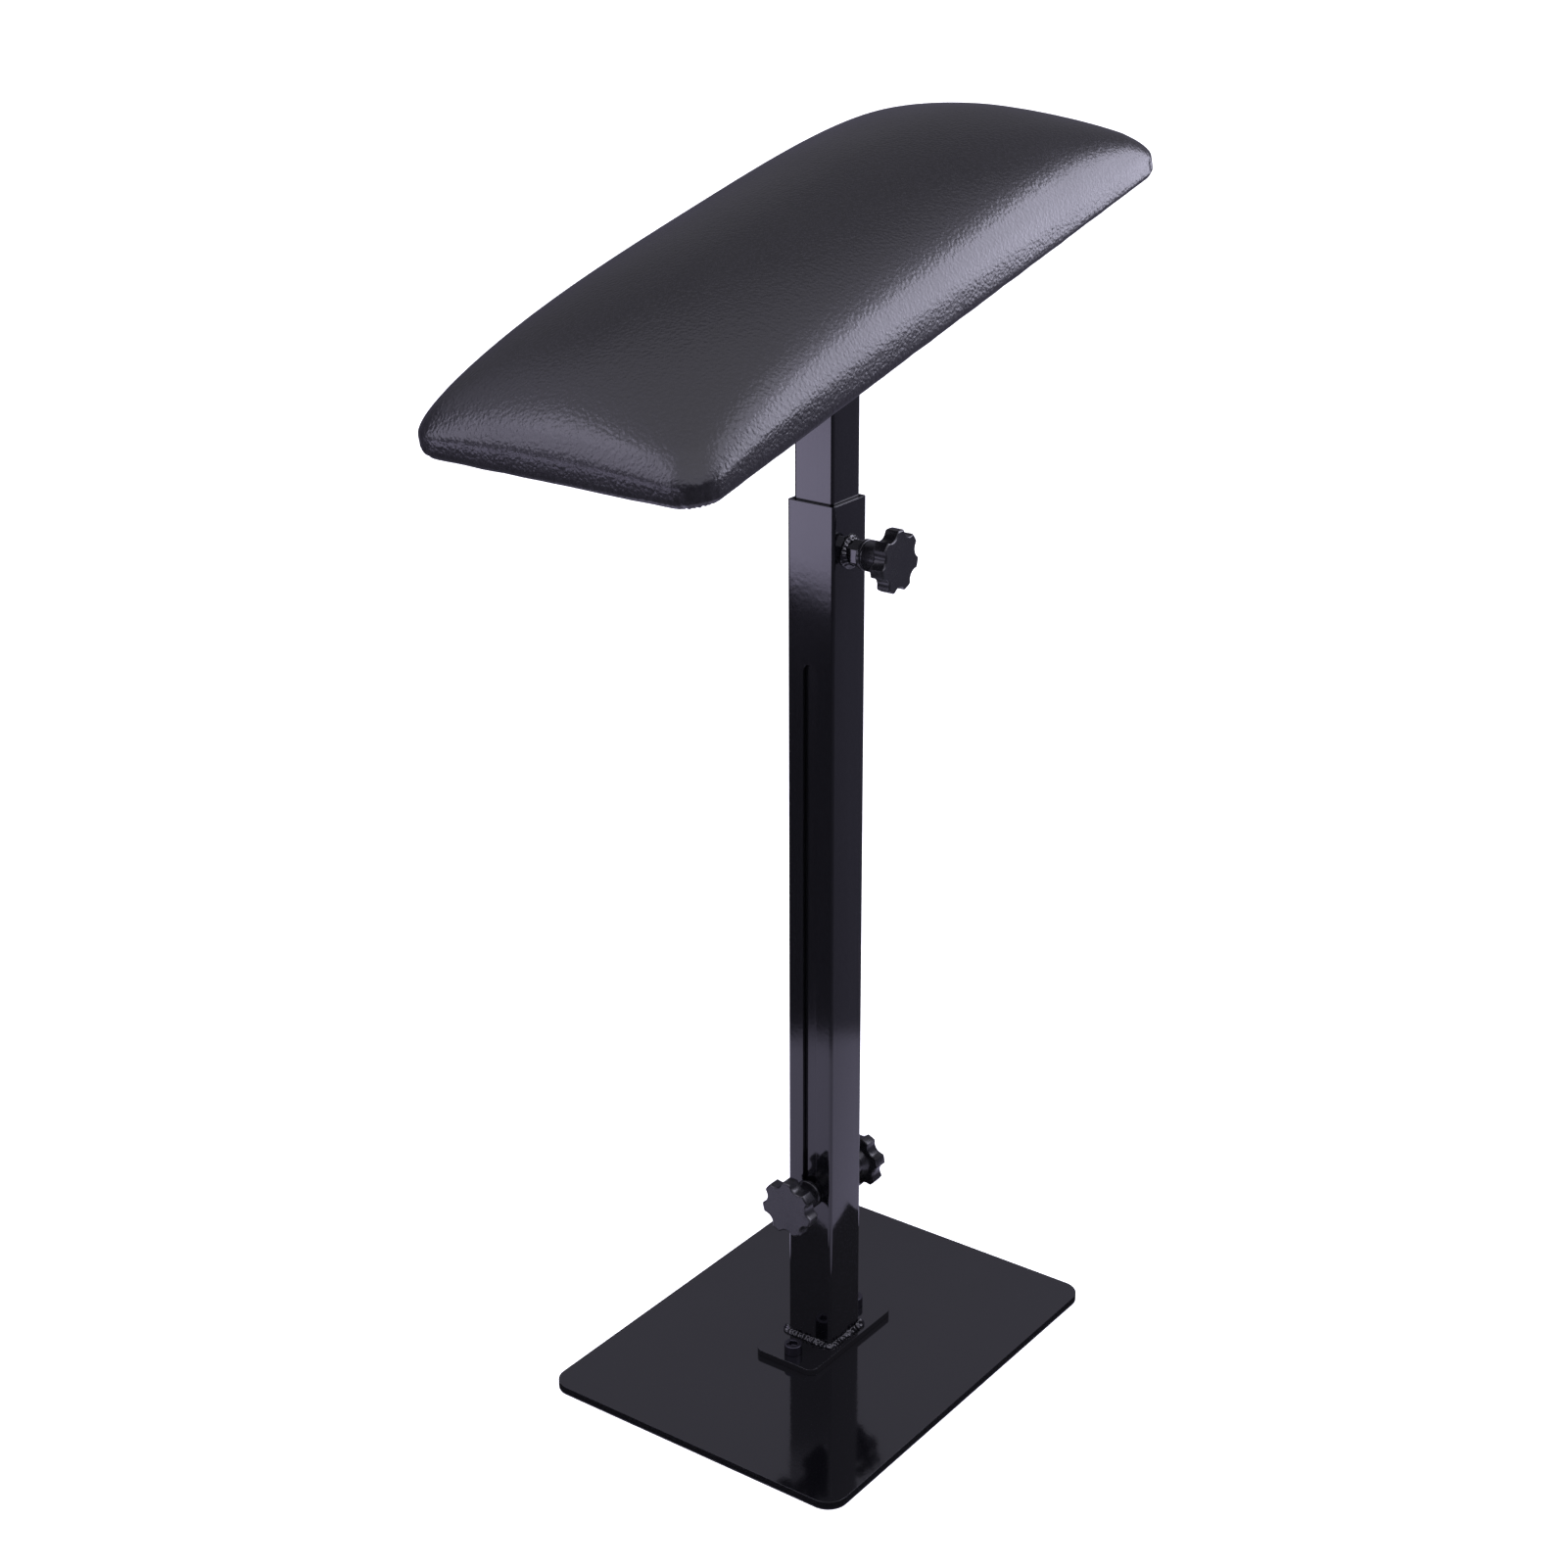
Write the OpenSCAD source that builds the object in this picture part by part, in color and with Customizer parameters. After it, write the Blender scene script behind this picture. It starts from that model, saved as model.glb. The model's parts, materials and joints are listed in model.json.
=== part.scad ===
// Arm rest stand: a padded rest that tilts on a square post, which slides in a slotted tube on a flat steel foot.
// The post's axis is Z, the floor is z = 0, and the pad's long side runs along X. Lengths are in millimetres.

/* [Foot] */
// Length of the base plate, along the pad
base_length = 264; // [200:1:360]
// Width of the base plate
base_width = 200; // [140:1:300]
// Thickness of the base plate
base_thickness = 5; // [4:0.5:10]
// Corner radius of the base plate
base_corner = 12; // [4:1:30]
// Length of the flange at the foot of the tube
flange_length = 82; // [76:1:120]
// Width of the flange
flange_width = 42; // [40:1:80]
// Thickness of the flange
flange_thickness = 4; // [3:0.5:8]
// Corner radius of the flange
flange_corner = 5; // [2:0.5:10]
// Distance between the two flange screws
flange_screw_pitch = 62; // [54:1:64]
// Leg of the weld bead round the tube's foot
foot_weld_leg = 3.6; // [2:0.1:5]

/* [Outer tube] */
// Outside width of the square outer tube
outer_tube_width = 30; // [29:0.5:36]
// Wall of the outer tube
outer_tube_wall = 2; // [1.5:0.1:2.2]
// Outside corner radius of the outer tube
outer_tube_corner = 2; // [1.6:0.1:4]
// Height of the tube's rim above the floor
rim_height = 518; // [480:1:560]
// Width of the two long slots
slot_width = 9; // [8.6:0.1:10]
// Distance from the rim down to the slot's top end
slot_below_rim = 93; // [60:1:220]
// Distance from the rim down to the upper clamp screw
clamp_below_rim = 27; // [20:1:45]

/* [Inner tube] */
// Outside width of the square inner tube
inner_tube_width = 25; // [24:0.1:25.6]
// Wall of the inner tube
inner_tube_wall = 2; // [1.5:0.1:2.5]
// Outside corner radius of the inner tube
inner_tube_corner = 2; // [1.6:0.1:3.5]
// Height of the lower clamp screws with the post right down
lower_knob_height = 108; // [80:1:140]
// Length of inner tube below the lower clamp screws
inner_tube_tail = 26; // [12:1:40]
// Length of inner tube above the tilt pivot
inner_tube_crown = 11; // [9:0.5:14]

/* [Screws and knobs] */
// Diameter of the clamp studs and the pivot bolt
stud_diameter = 8; // [7:0.5:8]
// Rise of the thread in one turn
thread_pitch = 1.25; // [1:0.05:1.5]
// Size of the clamp nuts across their flats
nut_flats = 13; // [12.5:0.5:14]
// Height of the nut that is welded outside the outer tube
upper_nut_height = 8.8; // [6:0.1:14]
// Height of the two nuts that are welded inside the inner tube
lower_nut_height = 6; // [4:0.1:6.5]
// Diameter of a star knob over its lobes
knob_diameter = 34; // [30:0.5:44]
// Thickness of a star knob's head
knob_head_height = 8.5; // [6:0.5:12]
// Number of lobes on a star knob
knob_lobes = 7; // [5:1:9]
// Depth of the hollows between the lobes
knob_hollow_depth = 3; // [1.5:0.1:4]
// Diameter of the collar behind the head, at its free end
knob_collar_diameter = 16.8; // [15.5:0.1:20]
// Height of the collar
knob_collar_height = 14.5; // [8:0.1:18]

/* [Tilt joint] */
// Distance from the rim up to the tilt pivot, with the post right down
pivot_above_rim = 68; // [50:1:100]
// Tilt of the pad at rest, far end up
pad_tilt = 13.5; // [-30:0.5:30]
// Distance from the pivot to the pad's underside
pivot_drop = 37.5; // [34:0.5:60]
// Thickness of the fork's steel strip
fork_thickness = 3; // [2:0.5:4]
// Width of the fork's ears
fork_width = 26; // [22:1:36]
// Thickness of the friction washers beside the tube
friction_washer_thickness = 1; // [0.5:0.1:2]
// Diameter of the friction washers
friction_washer_diameter = 20; // [16:1:22]
// Length of the plate under the pad
bracket_plate_length = 110; // [80:1:160]
// Width of the plate under the pad
bracket_plate_width = 60; // [50:1:90]
// Thickness of the plate under the pad
bracket_plate_thickness = 3; // [2:0.5:5]
// Distance between the plate's screws along the pad
bracket_screw_pitch_long = 86; // [60:1:96]
// Distance between the plate's screws across the pad
bracket_screw_pitch_short = 40; // [36:1:60]

/* [Pad] */
// Length of the pad
pad_length = 417; // [340:1:520]
// Width of the pad
pad_width = 176; // [150:0.5:240]
// Corner radius of the pad's outline
pad_corner = 17; // [13:1:60]
// How far the pad's middle sits from the pivot, along the pad
pad_shift = -6.5; // [-20:0.5:20]
// Rise of the crown above the pad's edge
crown_rise = 47.5; // [30:0.5:70]
// Radius of the roll where the cover turns under
tuck_radius = 6; // [4:0.5:10]
// Height of the upright side above that roll
side_height = 5.5; // [0:0.5:10]
// Thickness of the leather cover
cover_thickness = 1.2; // [0.8:0.1:2]
// Thickness of the board in the pad
board_thickness = 10; // [9:0.5:12]
// How far the board's edge stays inside the pad's outline
board_inset = 8; // [7:0.5:12]
// Width of the cover's hem, from the pad's outline
hem_width = 25; // [22:0.5:26]
// Thickness of the dust cover under the pad
dust_cover_thickness = 0.8; // [0.4:0.1:1]

/* [Hidden] */
$fn = 48;

// How far a cut runs past the piece that it cuts
overrun = 1;
// Radial clearance of a screw in its thread, and of the pivot in its holes
thread_clearance = 0.05;
// Radial clearance of a screw in a plain hole
hole_clearance = 0.25;
// Gap left between a clamped piece and its seat
seat_gap = 0.1;
stud_radius = stud_diameter / 2;
bore_radius = stud_radius + thread_clearance;
clearance_radius = stud_radius + hole_clearance;

// Flange screws, with a hex socket in the head
cap_screw_radius = 3;
cap_screw_head_radius = 5.2;
cap_screw_head_height = 6;
cap_screw_socket_flats = 5;
cap_screw_socket_depth = 3;
cap_screw_grip = 4;
cap_screw_length = flange_thickness + cap_screw_grip;
flange_top = base_thickness + flange_thickness;

// Tubes
slot_top = rim_height - slot_below_rim;
upper_knob_height = rim_height - clamp_below_rim;
pivot_height = rim_height + pivot_above_rim;
outer_tube_bore = outer_tube_width - 2 * outer_tube_wall;
inner_tube_bore = inner_tube_width - 2 * inner_tube_wall;
inner_tube_bottom = lower_knob_height - inner_tube_tail;
inner_tube_top = pivot_height + inner_tube_crown;
outer_face = outer_tube_width / 2;
inner_face = inner_tube_width / 2;
plug_flange_thickness = 2;
plug_skirt_depth = 4;
plug_clearance = 0.1;

// Weld beads round the tube's foot, the upper nut and the fork
weld_toe = 0.9;
nut_weld_height = 3;
nut_weld_spread = 3;
fork_weld_leg = 2.5;

// Knobs
knob_height = knob_collar_height + knob_head_height;
knob_radius = knob_diameter / 2;
knob_hollow_radius = 6;
knob_edge_radius = 1.5;
knob_web_radius = 11;
knob_web_height = 3;
knob_groove_place = 2.4;
knob_groove_width = 1;
knob_groove_depth = 0.6;
knob_cap_thickness = 4;
knob_socket_depth = knob_height - knob_cap_thickness;
upper_knob_turn = -14;
left_knob_turn = 0;
right_knob_turn = 0;
tilt_knob_turn = 20;
stud_tip_gap = 3.5;
insert_radius = 6;
insert_length = 14;
insert_cap = 1;

// Tilt joint, from the tube's side face outwards
washer_inner_face = inner_face + seat_gap;
fork_inner_face = washer_inner_face + friction_washer_thickness;
fork_outer_face = fork_inner_face + fork_thickness;
tilt_washer_thickness = 1.6;
tilt_washer_radius = 8.5;
tilt_knob_seat = fork_outer_face + tilt_washer_thickness + seat_gap;
bolt_head_radius = 8.5;
bolt_head_height = 4;
bolt_neck_length = fork_thickness;
bolt_tail_gap = 1;

// Pad, as heights above its underside
pad_edge = tuck_radius + side_height;
board_top = cover_thickness + board_thickness;
plate_top = cover_thickness - dust_cover_thickness;
plate_bottom = plate_top - bracket_plate_thickness;
web_bottom = plate_bottom - fork_thickness;
crown_long_power = 3.15;
crown_long_round = 0.52;
crown_cross_power = 1.7;
crown_cross_round = 0.36;
least_corner = 2;
foam_gap = 0.3;
dust_cover_inset = 13;
corner_steps = 6;
long_steps = 6;
short_steps = 3;
tuck_steps = 3;
ring_shares = [0.3, 0.56, 0.76, 0.88, 0.95, 0.985];

// Fasteners in the pad
plate_screw_radius = 3;
plate_screw_head_radius = 6;
plate_screw_head_height = 3;
plate_screw_slot_flats = 4;
plate_screw_slot_depth = 1.8;
tee_nut_barrel_radius = 4.2;
tee_nut_barrel_length = 8;
tee_nut_flange_radius = 9.5;
tee_nut_flange_thickness = 1.2;
staple_crown = 10;
staple_wire = 0.8;
staple_leg = 6;
staple_inset = (dust_cover_inset + hem_width) / 2;
staple_end_inset = 32;
staple_spacing = 30;

steel_black = [0.11, 0.11, 0.12];
plastic_black = [0.15, 0.15, 0.17];
zinc = [0.72, 0.73, 0.75];
leather_black = [0.2, 0.19, 0.21];

// Shared outlines and solids

module rounded_rectangle(length, width, radius) {
    square([length - 2 * radius, width], center = true);
    square([length, width - 2 * radius], center = true);
    for (x = [-1, 1], y = [-1, 1]) {
        translate([x * (length / 2 - radius), y * (width / 2 - radius)]) circle(r = radius);
    }
}

module hexagon_prism(flats, height) {
    cylinder(d = flats / cos(30), h = height, $fn = 6);
}

module square_tube(width, wall, corner, bottom, top) {
    translate([0, 0, bottom]) {
        linear_extrude(top - bottom) {
            difference() {
                rounded_rectangle(width, width, corner);
                rounded_rectangle(width - 2 * wall, width - 2 * wall, max(corner - wall, wall / 2));
            }
        }
    }
}

// A plain screw along Z: the underside of its head is at z = 0 and its shank points down.
module socket_screw(radius, length, head_radius, head_height, socket_flats, socket_depth) {
    difference() {
        union() {
            cylinder(r = head_radius, h = head_height);
            translate([0, 0, -length]) cylinder(r = radius, h = length + overrun);
        }
        translate([0, 0, head_height - socket_depth]) hexagon_prism(socket_flats, socket_depth + overrun);
    }
}

// Turns a piece that points along +Z so that it points along an axis of the stand.
module facing_left() {
    rotate([0, -90, 0]) children();
}

module facing_right() {
    rotate([0, 90, 0]) children();
}

module facing_front() {
    rotate([90, 0, 0]) children();
}

module facing_back() {
    rotate([-90, 0, 0]) children();
}

// Foot

module flange_screw_places() {
    for (side = [-1, 1]) {
        translate([side * flange_screw_pitch / 2, 0, 0]) children();
    }
}

module base_plate() {
    color(steel_black) difference() {
        linear_extrude(base_thickness) rounded_rectangle(base_length, base_width, base_corner);
        flange_screw_places() {
            translate([0, 0, -overrun]) {
                cylinder(r = cap_screw_radius + thread_clearance, h = base_thickness + 2 * overrun);
            }
        }
    }
}

module foot_flange() {
    color(steel_black) difference() {
        translate([0, 0, base_thickness]) {
            linear_extrude(flange_thickness) rounded_rectangle(flange_length, flange_width, flange_corner);
        }
        flange_screw_places() {
            translate([0, 0, base_thickness - overrun]) {
                cylinder(r = cap_screw_radius + hole_clearance, h = flange_thickness + 2 * overrun);
            }
        }
    }
}

module foot_weld() {
    corner = outer_face - outer_tube_corner;
    color(steel_black) difference() {
        hull() {
            for (x = [-1, 1], y = [-1, 1]) {
                translate([x * corner, y * corner, flange_top]) {
                    cylinder(r1 = outer_tube_corner + foot_weld_leg, r2 = outer_tube_corner + weld_toe,
                        h = foot_weld_leg, $fn = 32);
                }
            }
        }
        translate([0, 0, flange_top - overrun]) {
            linear_extrude(foot_weld_leg + 2 * overrun) {
                rounded_rectangle(outer_tube_width, outer_tube_width, outer_tube_corner);
            }
        }
    }
}

module flange_screws() {
    color(zinc) flange_screw_places() {
        translate([0, 0, flange_top]) {
            socket_screw(cap_screw_radius, cap_screw_length, cap_screw_head_radius, cap_screw_head_height,
                cap_screw_socket_flats, cap_screw_socket_depth);
        }
    }
}

// Outer tube with a long slot in each of two opposite walls

module slot_outline() {
    translate([-slot_width / 2, lower_knob_height]) square([slot_width, slot_top - lower_knob_height]);
    for (height = [lower_knob_height, slot_top]) {
        translate([0, height]) circle(d = slot_width);
    }
}

module outer_tube() {
    color(steel_black) difference() {
        square_tube(outer_tube_width, outer_tube_wall, outer_tube_corner, flange_top, rim_height);
        translate([-outer_tube_width, 0, 0]) {
            rotate([90, 0, 90]) linear_extrude(2 * outer_tube_width) slot_outline();
        }
        translate([0, 0, upper_knob_height]) {
            facing_front() cylinder(r = clearance_radius, h = outer_tube_width);
        }
    }
}

module upper_weld_nut() {
    color(steel_black) difference() {
        translate([0, -outer_face, upper_knob_height]) {
            facing_front() rotate([0, 0, 90]) hexagon_prism(nut_flats, upper_nut_height);
        }
        translate([0, 0, upper_knob_height]) {
            facing_front() cylinder(r = bore_radius, h = outer_tube_width + upper_nut_height);
        }
    }
}

module upper_nut_weld() {
    color(steel_black) difference() {
        translate([0, -outer_face, upper_knob_height]) {
            facing_front() cylinder(r1 = nut_flats / 2 + nut_weld_spread, r2 = nut_flats / 2 + nut_weld_spread / 2,
                h = nut_weld_height);
        }
        translate([0, overrun - outer_face, upper_knob_height]) {
            facing_front() rotate([0, 0, 90]) hexagon_prism(nut_flats, upper_nut_height);
        }
    }
}

// Inner tube, which slides

module inner_tube() {
    color(steel_black) difference() {
        square_tube(inner_tube_width, inner_tube_wall, inner_tube_corner, inner_tube_bottom, inner_tube_top);
        translate([-inner_tube_width, 0, lower_knob_height]) {
            facing_right() cylinder(r = clearance_radius, h = 2 * inner_tube_width);
        }
        translate([0, -inner_tube_width, pivot_height]) {
            facing_back() cylinder(r = bore_radius, h = 2 * inner_tube_width);
        }
    }
}

module lower_clamp_nuts() {
    color(zinc) for (side = [0, 1]) {
        mirror([side, 0, 0]) {
            translate([-inner_tube_bore / 2, 0, lower_knob_height]) {
                facing_right() difference() {
                    hexagon_prism(nut_flats, lower_nut_height);
                    translate([0, 0, -overrun]) cylinder(r = bore_radius, h = lower_nut_height + 2 * overrun);
                }
            }
        }
    }
}

module tube_end_plug() {
    plug_width = inner_tube_bore - 2 * plug_clearance;
    color(plastic_black) {
        translate([0, 0, inner_tube_top]) {
            linear_extrude(plug_flange_thickness) {
                rounded_rectangle(inner_tube_width, inner_tube_width, inner_tube_corner);
            }
        }
        translate([0, 0, inner_tube_top - plug_skirt_depth]) {
            linear_extrude(plug_skirt_depth) {
                rounded_rectangle(plug_width, plug_width, inner_tube_wall / 2);
            }
        }
    }
}

// Star knobs. A knob points along +Z and its collar ends at z = 0.

module star_knob(socket_radius, turn) {
    color(plastic_black) difference() {
        union() {
            cylinder(d = knob_collar_diameter, h = knob_collar_height + overrun);
            translate([0, 0, knob_collar_height - knob_web_height]) {
                cylinder(r1 = knob_collar_diameter / 2, r2 = knob_web_radius, h = knob_web_height);
            }
            rotate([0, 0, turn]) knob_star();
        }
        translate([0, 0, -overrun]) cylinder(r = socket_radius, h = knob_socket_depth + overrun);
        translate([0, 0, knob_groove_place]) washer(knob_collar_diameter, knob_groove_width,
            knob_collar_diameter / 2 - knob_groove_depth);
    }
}

module knob_star() {
    translate([0, 0, knob_collar_height]) difference() {
        rotate_extrude() knob_edge_outline();
        for (i = [0 : knob_lobes - 1]) {
            rotate([0, 0, (i + 1 / 2) * 360 / knob_lobes]) {
                translate([knob_radius - knob_hollow_depth + knob_hollow_radius, 0, -overrun]) {
                    cylinder(r = knob_hollow_radius, h = knob_head_height + 2 * overrun);
                }
            }
        }
    }
}

module knob_edge_outline() {
    square([knob_radius - knob_edge_radius, knob_head_height]);
    translate([0, knob_edge_radius]) square([knob_radius, knob_head_height - 2 * knob_edge_radius]);
    for (height = [knob_edge_radius, knob_head_height - knob_edge_radius]) {
        translate([knob_radius - knob_edge_radius, height]) circle(r = knob_edge_radius);
    }
}

// A stud points along +Z with its tip at z = 0.
module clamp_stud(tip_to_seat) {
    color(zinc) cylinder(r = stud_radius, h = tip_to_seat + knob_socket_depth - bolt_tail_gap);
}

upper_knob_seat = outer_face + upper_nut_height + seat_gap;
upper_stud_tip = inner_face + seat_gap;
lower_knob_seat = outer_face + seat_gap;

module upper_clamp_stud() {
    translate([0, -upper_stud_tip, upper_knob_height]) {
        facing_front() clamp_stud(upper_knob_seat - upper_stud_tip);
    }
}

module upper_knob_head() {
    translate([0, -upper_knob_seat, upper_knob_height]) {
        facing_front() star_knob(bore_radius, upper_knob_turn);
    }
}

module lower_left_stud() {
    translate([-stud_tip_gap, 0, lower_knob_height]) {
        facing_left() clamp_stud(lower_knob_seat - stud_tip_gap);
    }
}

module lower_left_knob_head() {
    translate([-lower_knob_seat, 0, lower_knob_height]) {
        facing_left() star_knob(bore_radius, left_knob_turn);
    }
}

module lower_right_stud() {
    translate([stud_tip_gap, 0, lower_knob_height]) {
        facing_right() clamp_stud(lower_knob_seat - stud_tip_gap);
    }
}

module lower_right_knob_head() {
    translate([lower_knob_seat, 0, lower_knob_height]) {
        facing_right() star_knob(bore_radius, right_knob_turn);
    }
}

// Tilt joint. Its pieces and the pad are drawn level, from the pivot, and then tilted.

module tilted() {
    translate([0, 0, pivot_height]) rotate([0, -pad_tilt, 0]) children();
}

module bracket_screw_places() {
    for (x = [-1, 1], y = [-1, 1]) {
        translate([x * bracket_screw_pitch_long / 2, y * bracket_screw_pitch_short / 2, pivot_drop]) children();
    }
}

module bracket_plate() {
    color(steel_black) tilted() difference() {
        translate([0, 0, pivot_drop + plate_bottom]) {
            linear_extrude(bracket_plate_thickness) {
                rounded_rectangle(bracket_plate_length, bracket_plate_width, flange_corner);
            }
        }
        bracket_screw_places() {
            translate([0, 0, plate_bottom - overrun]) {
                cylinder(r = plate_screw_radius + hole_clearance, h = bracket_plate_thickness + 2 * overrun);
            }
        }
    }
}

module fork_ear_outline() {
    circle(d = fork_width);
    translate([-fork_width / 2, 0]) square([fork_width, pivot_drop + plate_bottom]);
}

module tilt_fork() {
    color(steel_black) tilted() difference() {
        translate([0, fork_outer_face, 0]) {
            rotate([90, 0, 0]) linear_extrude(2 * fork_outer_face) fork_ear_outline();
        }
        translate([-fork_width, -fork_inner_face, -fork_width]) {
            cube([2 * fork_width, 2 * fork_inner_face, fork_width + pivot_drop + web_bottom]);
        }
        facing_back() cylinder(r = bore_radius, h = fork_outer_face + overrun);
        translate([0, -fork_outer_face, 0]) {
            cube([2 * bore_radius, 2 * fork_outer_face, 2 * bore_radius], center = true);
        }
    }
}

module fork_welds() {
    color(steel_black) tilted() for (side = [-1, 1]) {
        translate([side * fork_width / 2, 0, pivot_drop + plate_bottom]) {
            rotate([90, 0, 0]) linear_extrude(2 * fork_inner_face, center = true) {
                polygon([[0, 0], [side * fork_weld_leg, 0], [0, -fork_weld_leg]]);
            }
        }
    }
}

module bracket_screws() {
    color(zinc) tilted() bracket_screw_places() {
        translate([0, 0, plate_bottom]) {
            rotate([180, 0, 0]) {
                socket_screw(plate_screw_radius, board_top - plate_bottom - bolt_tail_gap, plate_screw_head_radius,
                    plate_screw_head_height, plate_screw_slot_flats, plate_screw_slot_depth);
            }
        }
    }
}

module tee_nuts() {
    color(zinc) tilted() bracket_screw_places() {
        difference() {
            union() {
                translate([0, 0, board_top - tee_nut_flange_thickness]) {
                    cylinder(r = tee_nut_flange_radius, h = tee_nut_flange_thickness);
                }
                translate([0, 0, board_top - tee_nut_barrel_length]) {
                    cylinder(r = tee_nut_barrel_radius, h = tee_nut_barrel_length);
                }
            }
            translate([0, 0, board_top - tee_nut_barrel_length - overrun]) {
                cylinder(r = plate_screw_radius + thread_clearance, h = tee_nut_barrel_length + 2 * overrun);
            }
        }
    }
}

// The pivot bolt has a low round head and a square neck that sits in the front ear.
module pivot_bolt() {
    bolt_end = tilt_knob_seat + insert_length - insert_cap - bolt_tail_gap;
    color(zinc) tilted() {
        translate([0, -fork_outer_face, 0]) {
            facing_front() cylinder(r1 = bolt_head_radius, r2 = bolt_head_radius / 2, h = bolt_head_height);
        }
        translate([0, -fork_outer_face + bolt_neck_length / 2, 0]) {
            cube([stud_diameter, bolt_neck_length, stud_diameter], center = true);
        }
        translate([0, -fork_outer_face, 0]) {
            facing_back() cylinder(r = stud_radius, h = fork_outer_face + bolt_end);
        }
    }
}

module friction_washers() {
    color(plastic_black) tilted() for (side = [0, 1]) {
        mirror([0, side, 0]) {
            translate([0, washer_inner_face, 0]) {
                facing_back() washer(friction_washer_diameter / 2, friction_washer_thickness);
            }
        }
    }
}

module tilt_washer() {
    color(zinc) tilted() {
        translate([0, fork_outer_face, 0]) {
            facing_back() washer(tilt_washer_radius, tilt_washer_thickness);
        }
    }
}

module washer(radius, thickness, hole_radius = bore_radius) {
    difference() {
        cylinder(r = radius, h = thickness);
        translate([0, 0, -overrun]) cylinder(r = hole_radius, h = thickness + 2 * overrun);
    }
}

module tilt_knob_insert() {
    color(zinc) tilted() {
        translate([0, tilt_knob_seat, 0]) {
            facing_back() difference() {
                cylinder(r = insert_radius, h = insert_length);
                translate([0, 0, -overrun]) cylinder(r = bore_radius, h = insert_length - insert_cap + overrun);
            }
        }
    }
}

module tilt_knob_head() {
    tilted() translate([0, tilt_knob_seat, 0]) {
        facing_back() star_knob(insert_radius + thread_clearance, tilt_knob_turn);
    }
}

// Pad. Every outline is a rounded rectangle as a list of points, with the same number of points at any inset.

function edge_points(from, to, steps) = [for (i = [1 : steps - 1]) from + (to - from) * i / steps];

function corner_points(x, y, radius, start) =
    [for (i = [0 : corner_steps]) [x + radius * cos(start + i * 90 / corner_steps),
        y + radius * sin(start + i * 90 / corner_steps)]];

function pad_outline(inset) =
    let (
        radius = max(pad_corner - inset, least_corner),
        x = pad_length / 2 - inset - radius,
        y = pad_width / 2 - inset - radius
    )
    concat(
        corner_points(x, y, radius, 0), edge_points([x, y + radius], [-x, y + radius], long_steps),
        corner_points(-x, y, radius, 90), edge_points([-x - radius, y], [-x - radius, -y], short_steps),
        corner_points(-x, -y, radius, 180), edge_points([-x, -y - radius], [x, -y - radius], long_steps),
        corner_points(x, -y, radius, 270), edge_points([x + radius, -y], [x + radius, y], short_steps)
    );

// Half of the outline's extent along one axis, where the other coordinate is given.
function half_extent(half, other_half, inset, place) =
    let (over = min(max(abs(place) - (other_half - pad_corner), 0), pad_corner - inset))
    half - pad_corner + sqrt(pow(pad_corner - inset, 2) - over * over);

function falloff(ratio, power, round) = pow(max(1 - pow(min(ratio, 1), power), 0), round);

// Height of the crown over a point of the pad, for the cover's outside and, at an inset, for its inside.
function crown_height(point, inset) =
    let (
        long_reach = half_extent(pad_length / 2, pad_width / 2, inset, point.y),
        cross_reach = half_extent(pad_width / 2, pad_length / 2, inset, point.x)
    )
    pad_edge + (crown_rise - inset) * falloff(abs(point.x) / long_reach, crown_long_power, crown_long_round)
        * falloff(abs(point.y) / cross_reach, crown_cross_power, crown_cross_round);

function flat_ring(inset, height) = [for (p = pad_outline(inset)) [p.x, p.y, height]];

function crown_ring(share, inset) = [for (p = pad_outline(inset) * share) [p.x, p.y, crown_height(p, inset)]];

// Rings from the crown down to the roll under the edge.
function crown_rings(inset) =
    concat(
        [for (share = ring_shares) crown_ring(share, inset)],
        [flat_ring(inset, pad_edge)],
        [for (i = [0 : tuck_steps])
            let (angle = i * 90 / tuck_steps, radius = tuck_radius - inset)
            flat_ring(tuck_radius - radius * cos(angle), tuck_radius - radius * sin(angle))]
    );

function reversed(list) = [for (i = [len(list) - 1 : -1 : 0]) list[i]];

// A closed solid through a list of rings, from a top point to an end point. From the turned ring on, the facets are
// split the other way, so that a lining's facets match those of what fills it.
module ringed_solid(top, rings, end, turned) {
    count = len(rings[0]);
    last = len(rings) * count + 1;
    points = concat([top], [for (ring = rings) each ring], [end]);
    faces = concat(
        [for (j = [0 : count - 1]) [0, 1 + (j + 1) % count, 1 + j]],
        [for (i = [0 : len(rings) - 2], j = [0 : count - 1])
            let (a = 1 + i * count + j, b = 1 + i * count + (j + 1) % count)
            each i < turned ? [[a, b, a + count], [b, b + count, a + count]]
                : [[a, b, b + count], [a, b + count, a + count]]],
        [for (j = [0 : count - 1])
            let (a = last - count + j, b = last - count + (j + 1) % count)
            [a, b, last]]
    );
    polyhedron(points = points, faces = faces);
}

module on_pad() {
    tilted() translate([pad_shift, 0, pivot_drop]) children();
}

module pad_slab(inset, bottom, top) {
    translate([0, 0, bottom]) linear_extrude(top - bottom) polygon(pad_outline(inset));
}

module leather_cover() {
    outside = crown_rings(0);
    inside = crown_rings(cover_thickness);
    color(leather_black) on_pad() {
        ringed_solid(
            [0, 0, crown_height([0, 0], 0)],
            concat(outside, [flat_ring(hem_width, 0), flat_ring(hem_width, cover_thickness)], reversed(inside)),
            [0, 0, crown_height([0, 0], cover_thickness)],
            len(outside) + 2
        );
    }
}

module foam_core() {
    hollow = board_inset - foam_gap;
    color("khaki") on_pad() {
        ringed_solid(
            [0, 0, crown_height([0, 0], cover_thickness)],
            concat(crown_rings(cover_thickness), [flat_ring(hollow, cover_thickness), flat_ring(hollow, board_top)]),
            [0, 0, board_top],
            len(ring_shares) + tuck_steps + 4
        );
    }
}

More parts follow.
